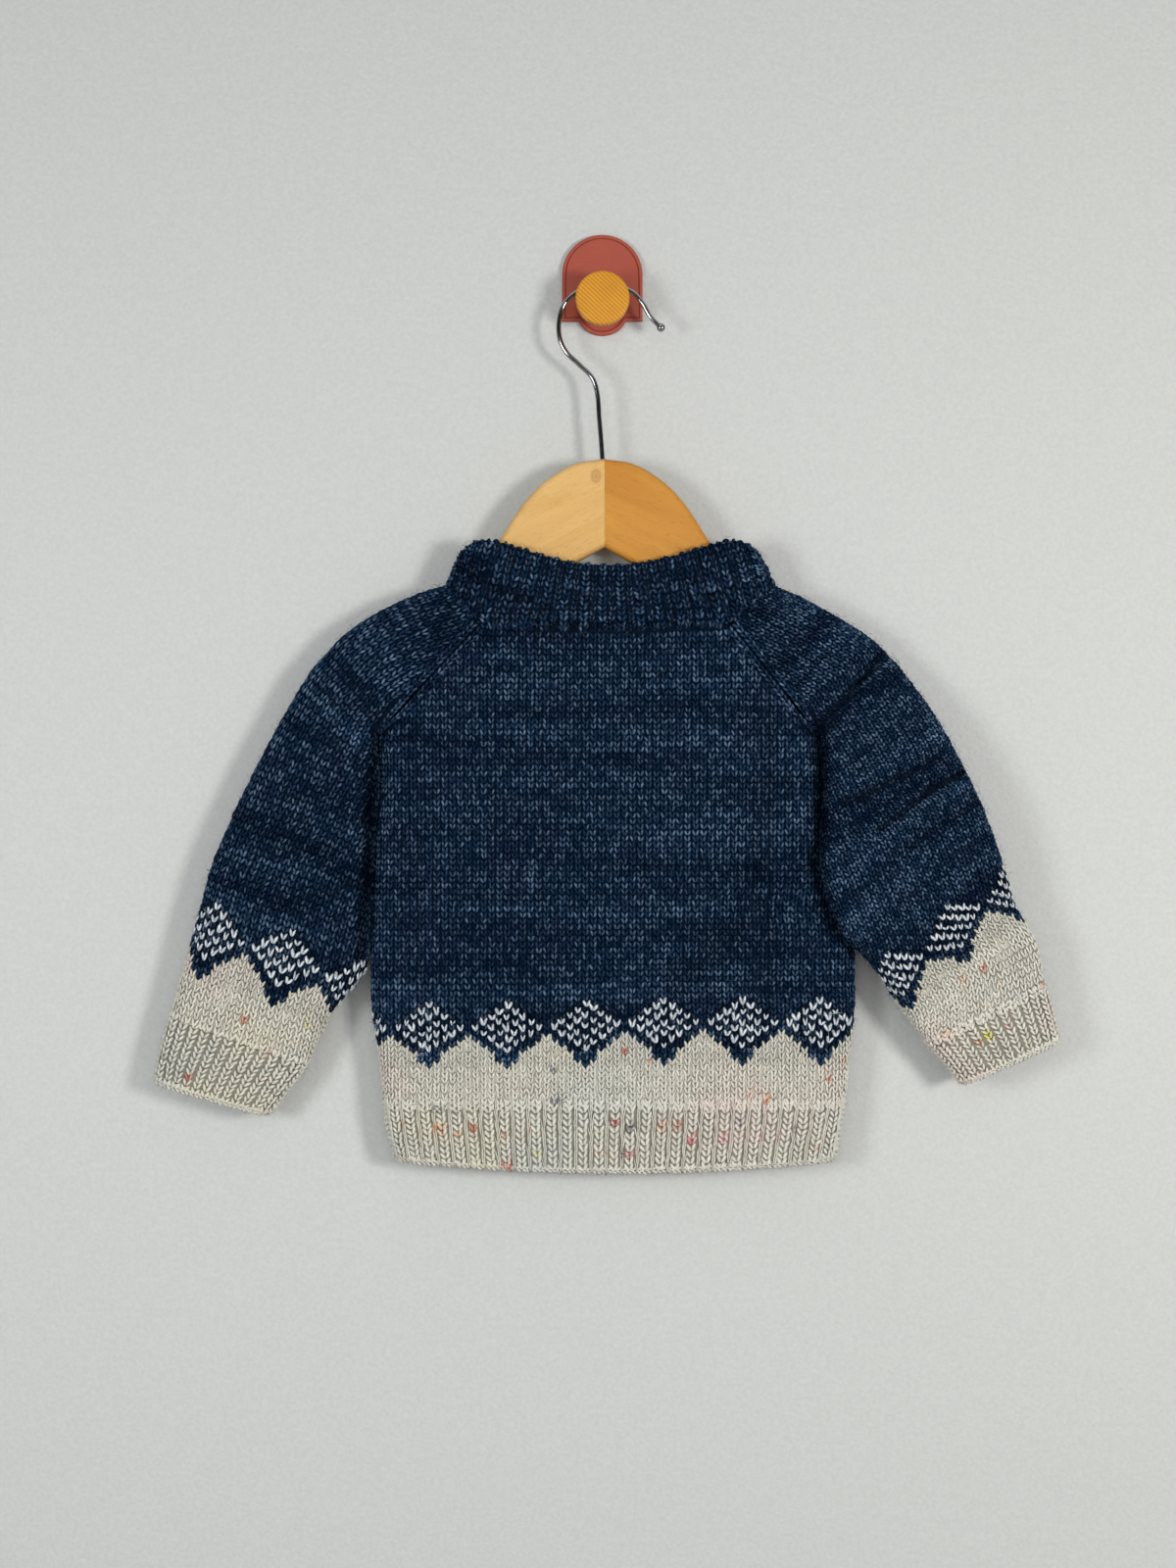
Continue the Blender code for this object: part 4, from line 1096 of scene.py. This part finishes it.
def castOnEdge(found, patch, made, zeroAt, sign, seed):
    # loops along the bottom edge, over the ends of the ribs
    dice = np.random.default_rng(seed)
    count = made["ribs"] * made["loopsPerRib"]
    aside, rise = castOn["slopeReach"]
    outer, above = (gridLine(patch, patch["lengths"][-1] - higher, insets[1]) for higher in (0.0, rise))
    lengths = arcLengths(outer, zeroAt)
    pitch = (lengths[-1] - lengths[0]) / count
    at = lengths[0] + (np.arange(count) + castOn["shift"]) * pitch
    place = along(outer, lengths, at)
    across = unit(along(outer, lengths, at + aside) - along(outer, lengths, at - aside))
    down = unit(place - along(above, lengths, at))
    out = unit(np.cross(across, -down)) * sign
    width, stretch, height = castOn["size"]
    for turn, lower, higher in castOn["loops"]:
        lean = dice.normal(turn, castOn["uneven"][0], (count, 1))
        tilt = castOn["tilt"][0] + castOn["tilt"][1] * lower
        facing = unit(out * math.cos(tilt) + down * math.sin(tilt))
        size = np.tile((width, pitch / legRow * stretch, height), (count, 1))
        size = size * (1 + dice.normal(0, castOn["uneven"][1], (count, 3)))
        spot = place + down * lower + out * higher
        addStitches(found, spot, facing, unit(across + down * lean), size, np.full(count, cream))


def ribbedEdge(name, node, patch, made, zeroAt, sign, spans, columns):
    found, seeds = [], made["seeds"]
    ribStitches(found, patch, made, zeroAt, sign, seeds[0])
    castOnEdge(found, patch, made, zeroAt, sign, seeds[1])
    clothPiece(name, node, patch, found, seeds[2], spans, columns, 2.0)


def hoopLine(z, inset):  # round the body, from its left fold over the back and home over the front
    return np.vstack((bodyLine(z, "back", inset), bodyLine(z, "front", inset)[-2::-1]))


def hemZero(line):
    return np.interp(body["firstWaleX"], line[:outerPoint, 0], np.arange(outerPoint))


heights = np.linspace(hemZ - cloth["seam"], edgeZ, 24)
ribbedEdge("hemRib", "hem_rib", makePatch(hoopLine, heights, -heights), hem, hemZero, 1, 8, 120)
for edge in ("left", "right"):
    patch = sleevePatch(edge, np.linspace(cuffPlace + 0.02, endPlace, 30))
    name, node = "cuff" + edge.capitalize(), "cuff_" + edge
    ribbedEdge(name, node, patch, cuffs[edge], outerPoint, -outX[edge], 10, 72)
print("ribs knitted")


# Neckband: doubled ribbing that stands on the neckline and leans in, with a raised row at its foot

band = {
    "lean": (0.86, 0.9),  # the top's size beside the neckline's, across and from back to front
    "centreX": 3.5, "topY": -16.6, "backTopZ": -140.6, "peakRise": 15.6, "sideTopZ": -131.0,
    "frontTopZ": -172.0, "beyondNeck": 22, "thickness": 4.6, "bulge": 1.4, "seam": 0.5,
    "ridgeFade": (50, 24),  # where the ridge at its foot begins to fade, and over what length
    "ribs": 42,
    "columns": (
        {"shift": -0.25, "width": 0.54, "height": 1.5, "lift": 0.50, "kind": navy, "rough": 1.5},
        # the second column sits lower, and its dark is painted shade
        {"shift": 0.25, "width": 0.43, "height": 1.1, "lift": -0.45, "kind": navy, "rough": 1.5,
         "dark": 0.36},
    ),
    "rowHeight": 3.0,
    "foldStretch": 0.62,
    "zeroPoint": 44,
    "seeds": (71, 74),
}


def neckLine(inset):
    back, front = (bodyLine(neckZ, side, inset) for side in ("back", "front"))
    left, right = (sleeveLine(0, edge, inset) for edge in ("left", "right"))
    return np.vstack((back[:-1], right[:0:-1], front[:0:-1], left[:-1], back[:1]))


def bandTop(base):
    neck, centreX, topY, sideZ = yokeRows[0], band["centreX"], band["topY"], band["sideTopZ"]
    width = (neck.right - neck.left) / 2 + band["beyondNeck"]
    out = np.minimum(1.0, np.abs(base[:, 0] - centreX) / width)
    share = smooth((1 + (topY - base[:, 1]) / neck.halfDepth) / 2)
    backZ = band["backTopZ"] + band["peakRise"] * out**2.4 * (3 - 2 * out)
    frontZ = band["frontTopZ"] + (sideZ - band["frontTopZ"]) * out**2.5
    topZ = frontZ + (backZ - frontZ) * share
    topZ += (sideZ - topZ) * out**10
    middle = np.array((centreX, topY))
    return np.column_stack((middle + (base[:, :2] - middle) * band["lean"], topZ))


def bandLine(share, inset):
    # share: 0 at the foot outside, 0.5 at the top, 1 at the foot inside
    base, behind = neckLine(0.0), neckLine(cloth["thickness"])
    top = bandTop(base)
    up = unit(top - base)
    out = base - behind
    out = unit(out - up * (out * up).sum(1, keepdims=True))
    foot = base + up * band["seam"]
    height = np.linalg.norm(top - foot, axis=1, keepdims=True)
    bulge, deep = band["bulge"] - inset, -(band["thickness"] - band["bulge"]) + inset
    profile = (  # share, part of the height, millimetres more, outward, outward where the ridge has faded
        (0.00, 0.0, inset * 0.6, -0.3 - inset, -0.3 - inset), (0.04, 0.0, 1.6, 1.0 - inset, 0.3 - inset),
        (0.09, 0.0, 4.2, 1.6 - inset, 0.6 - inset), (0.14, 0.0, 6.6, 0.9 - inset, 0.7 - inset),
        (0.18, 0.0, 8.8, 0.0 - inset, 0.8 - inset), (0.24, 0.42, 0.0, bulge - 0.3, bulge - 0.3),
        (0.36, 0.75, 0.0, bulge, bulge), (0.44, 1.0, -1.8, 0.7 - inset, 0.7 - inset),
        (0.50, 1.0, -inset, -1.5, -1.5), (0.56, 1.0, -1.8, deep, deep), (0.90, 0.2, 0.0, deep, deep),
        (1.00, 0.0, inset * 0.6, -cloth["thickness"], -cloth["thickness"]),
    )
    shares, *columns = (np.array(column) for column in zip(*profile))
    part, more, ridged, plain = (np.interp(share, shares, column) for column in columns)
    start, width = band["ridgeFade"]
    faded = smooth((np.abs(base[:, :1] - band["centreX"]) - start) / width)
    return foot + up * (part * height + more) + out * (ridged * (1 - faded) + plain * faded)


def neckBand():
    shares = np.linspace(0, 1, 60)
    patch = makePatch(bandLine, shares)
    lengths = (patch["lengths"][-1] - patch["lengths"])[::-1]  # counted down from the inside, as rows rise
    patch = {"grids": {inset: grid[::-1] for inset, grid in patch["grids"].items()}, "lengths": lengths}
    rows = int(lengths[-1] / band["rowHeight"])
    foldRow = rows / 2 - 0.75
    found = []
    ribStitches(found, patch, {**band, "rows": rows}, band["zeroPoint"], 1, band["seeds"][0], 0,
                lambda row: band["foldStretch"] if abs(row - foldRow) < 1.6 else 1.0)
    # a closed ring: its outer and inner faces are one surface
    ring = np.array([gridLine(patch, lengths[-1] * step / 40, insets[1])[:-1][::4] for step in range(41)])
    number = np.arange(ring[..., 0].size).reshape(ring.shape[:2])
    after, below = np.roll(number, -1, axis=1), np.roll(number, -1, axis=0)
    faces = np.stack((number, after, np.roll(after, -1, axis=0), below), axis=-1).reshape(-1, 4).tolist()
    shell = backingPiece("neckbandCloth", "neckband", ring.reshape(-1, 3), faces, 0.0)
    stitches = knitPiece("neckbandStitches", joined(found), band["seeds"][1])
    cloths["neckband"] = shell, [stitches]


neckBand()
print("neckband knitted")


# Stray fibres: wisps of wool that stand off the stitches

wisps = {
    "count": 3600,
    "thickness": 0.2,
    "lean": 0.4,
    "moreAtOutline": 3.0,
    "size": (0.45, 1.15),
    "turn": 0.35,
    "points": table("away height", (0.0, -0.6), (0.5, 1.0), (1.9, 1.75), (3.6, 1.5)),
    "seeds": (91, 92),
}


def wispMesh(name, side):
    rings = []
    for index, point in enumerate(wisps["points"]):
        ends = index in (0, len(wisps["points"]) - 1)
        radius = 0.0 if ends else wisps["thickness"] / 2
        rings.append([
            (side * wisps["lean"] * point.away + radius * math.cos(turn), side * point.away,
             point.height + radius * math.sin(turn)) for turn in ((0.0,) if ends else (0.0, 2.1, 4.2))])
    return strandMesh(name, rings, np.full((sum(map(len, rings)), 3), 0.5))


def strayFibres():
    dice = np.random.default_rng(wisps["seeds"][0])
    values = joined(knitted)
    chance = 1.0 + wisps["moreAtOutline"] * (np.abs(values["facing"][:, 1]) < 0.75)
    chosen = dice.choice(len(chance), wisps["count"], replace=False, p=chance / chance.sum())
    values = {key: value[chosen] for key, value in values.items()}
    facing, aside = values["facing"], dice.normal(0, 1, (len(chosen), 3))
    values["facing"] = unit(facing + wisps["turn"] * aside)
    values["upWale"] = unit(np.cross(facing, aside[:, ::-1]))
    values["size"] = dice.uniform(*wisps["size"], (len(chosen), 3))
    pair = wispMesh("wisp", 1), wispMesh("other wisp", -1)
    cloths["back"][1].append(knitPiece("strayFibres", values, wisps["seeds"][1], pair))
    for helper in (*legs, *pair):
        bpy.data.objects.remove(helper)


strayFibres()


# Hanger: two boards glued at a mitre, rounded along their edges and varnished

hanger = {
    "centreX": 0.8, "mitreX": 1.1, "crownZ": -84.4, "thickness": 11.0, "edge": 3.5, "y": -16.0,
    "sweep": 0.015,  # the arms lean towards the wall, or away, by this much of their length
    "glueGap": 0.02, "curveSteps": 5, "edgeSegments": 5, "sharp": 50,
    "top": table(
        "out drop", (0, 0), (16, 2.8), (30.5, 11.3), (40.5, 21), (47.5, 30.5), (53.5, 40), (63.5, 54),
        (84, 73.5), (118, 87.5), (136, 100.9), (142, 110)),
    "bottom": table("out drop", (142, 110), (134, 116.5), (105, 103.5), (60, 81.5), (24, 60.5), (0, 47)),
}


def curve(rows, steps):
    return rowsAt(rows, np.linspace(0, len(rows) - 1, steps * (len(rows) - 1) + 1))


def darkened(colour, share):
    return tuple(share * channel for channel in colour)


def woodMaterial(name, light, dark, slope, knot=None):
    look = newMaterial(name, 0.42, 0.3, more={"Coat Weight": 0.06, "Coat Roughness": 0.25})
    figure, grain, pores = (
        look.noise(1.0, detail, rough, look.mapped(scale, (0, math.radians(slope), 0)), distortion)
        for detail, rough, scale, distortion in (
            (3.0, 0.55, (9.0, 30.0, 70.0), 0.6), (4.0, 0.6, (45.0, 200.0, 900.0), 0.3),
            (2.0, 0.5, (260.0, 900.0, 1900.0), 0.0)))
    colour = look.mix(look.rise(figure, 0.3, 0.7), light, dark)
    colour = look.mix(look.times(look.rise(grain, 0.42, 0.62), 0.35), colour, dark)
    streak = look.times(look.rise(pores, 0.58, 0.70), 0.30)
    colour = look.mix(streak, colour, darkened(dark, 0.45))
    if knot:
        x, z = knot
        around = look.mapped((260.0, 0.0, 190.0), move=(-x * mm, 0, -z * mm))
        away = look.add("ShaderNodeVectorMath", {0: around}, operation="LENGTH").outputs["Value"]
        ring = look.ramp(away, (0.0, 0.75), (0.35, 0.35), (0.55, 0.60), (0.8, 0.15), (1.0, 0.0))
        colour = look.mix(ring, colour, (0.33, 0.15, 0.04))
    return look.finish(colour, grain, 0.08, 0.0003, look.ramp(grain, (0.3, 0.36), (0.7, 0.50)))


def hardPiece(name, node, shape, material, sharp=40):
    mesh = closedMesh(name, shape, 0.000002)
    mesh.set_sharp_from_angle(angle=math.radians(sharp))
    return addPiece(name, mesh, node, material)


def board(outline, thickness, front):  # closed outline of x and z, its front face at y = front
    shape = bmesh.new()
    face = shape.faces.new(addPoints(shape, [(x, front, z) for x, z in outline]))
    grown = bmesh.ops.extrude_face_region(shape, geom=[face])
    moved = [item for item in grown["geom"] if isinstance(item, bmesh.types.BMVert)]
    bmesh.ops.translate(shape, verts=moved, vec=(0, thickness * mm, 0))
    return shape


def roundEdges(shape, edges, size, segments):
    bmesh.ops.bevel(shape, geom=edges, offset=size * mm, segments=segments, affect="EDGES", profile=0.5)


def hangerArm(edge, material):
    direction = outX[edge]
    mitre = hanger["mitreX"] + direction * hanger["glueGap"]
    top, bottom = (curve(hanger[key], hanger["curveSteps"]) for key in ("top", "bottom"))
    outline = [(hanger["centreX"] + direction * out if out > 0.001 else mitre, hanger["crownZ"] - drop)
               for out, drop in np.vstack((top, bottom[1:]))]
    shape = board(outline, hanger["thickness"], -hanger["thickness"] / 2)
    rounded = []
    for side in shape.edges:
        first, second = (vertex.co for vertex in side.verts)
        atMitre = max(abs(first.x - mitre * mm), abs(second.x - mitre * mm)) < 1e-6
        if abs(first.y - second.y) < 1e-6 and not atMitre:
            rounded.append(side)
    roundEdges(shape, rounded, hanger["edge"], hanger["edgeSegments"])
    for vertex in shape.verts:
        out = direction * (vertex.co.x / mm - hanger["mitreX"])
        vertex.co.y += (hanger["y"] - hanger["sweep"] * out) * mm
    name, node = "hangerArm" + edge.capitalize(), "hanger_arm_" + edge
    hardPiece(name, node, shape, material, hanger["sharp"])


# the left board is coloured lighter and the right darker and more orange: partly the boards' own colours,
# partly painted light and painted shade as the light falls from the right
hangerArm("left", woodMaterial(
    "varnished birch, grain rising", (0.63, 0.40, 0.150), (0.54, 0.31, 0.095), 28, knot=(-3.4, -94.0)))
hangerArm("right", woodMaterial(
    "varnished birch, grain falling", (0.525, 0.245, 0.036), (0.43, 0.175, 0.020), -24))

# Hook: bent chromed wire with a ball at its tip

hook = {
    "radius": 1.3, "tipRadius": 2.3, "y": -16.0, "steps": 6, "sides": 16,
    "wire": table(
        "x z", (0, -84.1), (-0.8, -73), (-1.8, -61), (-2.6, -50), (-5.4, -40.8), (-12.4, -33.8),
        (-19.4, -27), (-22.9, -19), (-23.1, -10.5), (-20.6, -2), (-13.6, 5), (0, 10.7), (14.6, 5.8),
        (21.2, -0.8), (25.6, -8.2), (31.2, -14)),
}


def chromeMaterial():
    look = newMaterial("chromed wire", 0.14, colour=(0.34, 0.34, 0.35), more={"Metallic": 1.0})
    worn = look.noise(90.0, 3.0, 0.6)
    colour = look.ramp(worn, (0.35, (0.24, 0.24, 0.25)), (0.7, (0.42, 0.42, 0.43)))
    return look.finish(colour, look.noise(700.0), 0.015, 0.0002, look.ramp(worn, (0.3, 0.08), (0.8, 0.20)))


def aroundCircle(count):
    return np.linspace(0, 2 * math.pi, count, endpoint=False)


def hangerHook():
    path = curve(hook["wire"], hook["steps"])
    rings = [
        [(x + hook["radius"] * math.cos(turn) * -runZ, hook["y"] + hook["radius"] * math.sin(turn),
          z + hook["radius"] * math.cos(turn) * runX) for turn in aroundCircle(hook["sides"])]
        for (x, z), (runX, runZ) in zip(path, unit(np.gradient(path, axis=0)))
    ]
    shape = loft(rings)
    shape.verts.ensure_lookup_table()
    for end in (slice(hook["sides"]), slice(-hook["sides"], None)):
        shape.faces.new(shape.verts[end])
    bmesh.ops.recalc_face_normals(shape, faces=shape.faces)
    tip = Matrix.Translation(Vector((path[-1][0], hook["y"], path[-1][1])) * mm)
    bmesh.ops.create_uvsphere(shape, u_segments=24, v_segments=16, radius=hook["tipRadius"] * mm, matrix=tip)
    hardPiece("hangerHook", "hanger_hook", shape, chromeMaterial())


hangerHook()

# Wall plate and knob

plate = {
    "halfWidth": 21.7, "archZ": 17.1, "footZ": -7.7, "lobeRadius": 14.4, "lobeZ": -1.0, "thickness": 3.0,
    "edge": 0.8,
    "groove": ((0.9, 0.0), (0.35, -0.7), (0.35, 0.7)),  # inward and deeper, inside the rim
}
knob = {"stemRadius": 8.8, "radius": 14.3, "back": 20.0, "front": 26.0, "edge": 1.2, "steps": 72}


def paintMaterial(name, light, dark, cloudScale, lines=0):
    look = newMaterial(name, 0.5, 0.25)
    clouds = look.noise(cloudScale, 3.0, 0.6)
    colour = look.mix(look.rise(clouds, 0.3, 0.7), light, dark)
    height = look.noise(700.0, 3.0, 0.6)
    if lines:
        turned = look.mapped((1, 1, 1), (0, math.radians(47), 0))
        ridges = look.wave("X", {"Scale": lines, "Distortion": 0.15, "Vector": turned})
        colour = look.mix(look.ramp(ridges, (0.0, 0.8), (0.7, 0.0)), colour, darkened(dark, 0.66))
        height = look.plus(ridges, look.times(height, 0.3))
    return look.finish(colour, height, 0.10, 0.0004, look.ramp(clouds, (0.3, 0.42), (0.7, 0.56)))


def arc(start, end, count, radius, middleZ):
    turns = np.linspace(start, end, count)
    return [(radius * math.cos(turn), middleZ + radius * math.sin(turn)) for turn in turns]


def wallPlate():
    half, footZ = plate["halfWidth"], plate["footZ"]
    start = math.asin((footZ - plate["lobeZ"]) / plate["lobeRadius"])
    outline = [
        *arc(0, math.pi, 49, half, plate["archZ"]), (-half, footZ),
        *arc(math.pi - start, 2 * math.pi + start, 29, plate["lobeRadius"], plate["lobeZ"]), (half, footZ),
    ]
    shape = board(outline, plate["thickness"], -plate["thickness"])
    front = [edge for edge in shape.edges if all(vertex.co.y < -plate["edge"] * mm for vertex in edge.verts)]
    roundEdges(shape, front, plate["edge"], 4)
    bmesh.ops.recalc_face_normals(shape, faces=shape.faces)
    face = max(shape.faces, key=lambda face: face.calc_area() * (face.normal.y < -0.9))
    for inward, deeper in plate["groove"]:
        bmesh.ops.inset_region(shape, faces=[face], thickness=inward * mm, depth=deeper * mm)
    paint = paintMaterial("terracotta paint", (0.335, 0.070, 0.043), (0.29, 0.057, 0.036), 45.0)
    hardPiece("wallPlate", "wall_plate", shape, paint)


def wallKnob():
    edge, foot = knob["edge"], plate["thickness"] + cloth["seam"]
    profile = [(0.0, knob["front"])]
    quarter = np.linspace(0, math.pi / 2, 6)
    for middle, way, turns in ((knob["front"] - edge, 1, quarter), (knob["back"] + edge, -1, quarter[::-1])):
        profile += [(knob["radius"] - edge + edge * math.sin(turn), middle + way * edge * math.cos(turn))
                    for turn in turns]
    profile += [(knob["stemRadius"], knob["back"]), (knob["stemRadius"], foot), (0.0, foot)]
    turns = aroundCircle(knob["steps"])
    shape = loft([[(radius * math.cos(turn), -height, radius * math.sin(turn))
                   for turn in (turns if radius else turns[:1])] for radius, height in profile])
    paint = paintMaterial("mustard paint", (0.60, 0.270, 0.020), (0.50, 0.205, 0.014), 60.0, 185.0)
    hardPiece("wallKnob", "wall_knob", shape, paint)


wallPlate()
wallKnob()
print("hanger and wall hook made")


# Wall, light and camera

stage = {
    "wallY": 0.0005,
    "half": 3.0,
    "floorZ": -0.95,
    "topZ": 2.0,
    "target": Vector((-7.7, 0.0, -257.4)) * mm,
    "cameraY": -1.2,
}
lamps = table(  # degrees to the right of the viewer's side and above level, metres and watts
    "name turn rise distance size power colour mirrored",
    ("main light", 36, 1, 1.35, 0.30, 11.3, (1.0, 0.985, 0.965), True),
    ("second light", -38, 1, 1.35, 0.42, 7.6, (0.97, 0.985, 1.0), True),
    ("front light", 0, 10, 1.5, 1.0, 4.3, (1.0, 1.0, 1.0), False),
    ("back light", 205, 8, 1.6, 0.9, 4.0, (1.0, 1.0, 1.0), False),  # only reaches the hidden side
)


def wallMaterial():
    look = newMaterial("rolled wall paint", 0.85, 0.25)
    grain = look.noise(420.0, 3.0, 0.6)
    shade = look.rise(look.noise(0.9, 1.0), 0.3, 0.7)
    colour = look.mix(shade, (0.478, 0.485, 0.466), (0.503, 0.510, 0.493))
    colour = look.mix(look.rise(grain, 0.35, 0.65), colour, (0.935, 0.935, 0.935), "MULTIPLY")
    # clear from behind
    choose = look.add("ShaderNodeMixShader", {
        "Fac": look.add("ShaderNodeNewGeometry").outputs["Backfacing"], 1: look.shader.outputs["BSDF"],
        2: look.add("ShaderNodeBsdfTransparent").outputs["BSDF"]})
    look.feed(look.tree.nodes["Material Output"], {"Surface": choose.outputs["Shader"]})
    return look.finish(colour, grain, 0.5, 0.001)


def floorMaterial():
    look = newMaterial("plain floor", 0.8)
    look.feed(look.shader, {"Base Color": look.ramp(look.noise(3.0), (0.3, 0.50), (0.7, 0.56))})
    return look.material


def plane(name, corners, material):
    mesh = bpy.data.meshes.new(name)
    mesh.from_pydata(corners, [], [range(4)])
    mesh.materials.append(material)
    made = newObject(name, mesh)
    return made


def lamp(row):
    data = bpy.data.lights.new(row.name, "AREA")
    data.shape, data.size, data.energy, data.color = "DISK", row.size, row.power, row.colour
    made = newObject(row.name, data)
    turn, rise = math.radians(row.turn), math.radians(row.rise)
    away = Vector((math.sin(turn) * math.cos(rise), -math.cos(turn) * math.cos(rise), math.sin(rise)))
    made.location = stage["target"] + away * row.distance
    made.rotation_euler = away.to_track_quat("Z", "Y").to_euler()
    made.visible_camera, made.visible_glossy = False, row.mirrored


def room():  # an even light, and for the chrome a dark room under a pale ceiling
    made = bpy.data.worlds.new("room")
    made.use_nodes = True
    look = graph(made.node_tree)
    even = look.tree.nodes["Background"]
    look.feed(even, {"Color": (0.93, 0.96, 1.0), "Strength": 0.35})
    up = look.add("ShaderNodeSeparateXYZ", {"Vector": look.add("ShaderNodeTexCoord").outputs["Generated"]})
    ceiling = look.ramp(up.outputs["Z"], (0.0, 0.02), (0.35, 0.05), (0.75, 0.9))
    mirrored = look.add("ShaderNodeBackground", {"Color": ceiling})
    choose = look.add("ShaderNodeMixShader", {
        "Fac": look.add("ShaderNodeLightPath").outputs["Is Glossy Ray"], 1: even.outputs["Background"],
        2: mirrored.outputs["Background"]})
    look.feed(look.tree.nodes["World Output"], {"Surface": choose.outputs["Shader"]})
    return made


half, wallY, low, high = stage["half"], stage["wallY"], stage["floorZ"], stage["topZ"]
wall = plane("wall", [(x, wallY, z) for x, z in ((-half, low), (half, low), (half, high), (-half, high))],
             wallMaterial())
wall.visible_shadow = False
plane("floor", [(x, y, low) for x, y in ((-half, -half), (half, -half), (half, half), (-half, half))],
      floorMaterial())
for row in lamps:
    lamp(row)
scene.world = room()

lens = bpy.data.cameras.new("camera")
lens.lens, lens.sensor_width = 50.97, 36.0
lens.clip_start, lens.clip_end = 0.05, 20.0
camera = newObject("camera", lens)
camera.location = (stage["target"].x, stage["cameraY"], stage["target"].z)
camera.rotation_euler = (math.pi / 2, 0, 0)
scene.camera = camera
scene.view_settings.view_transform = "Standard"
print("stage set")
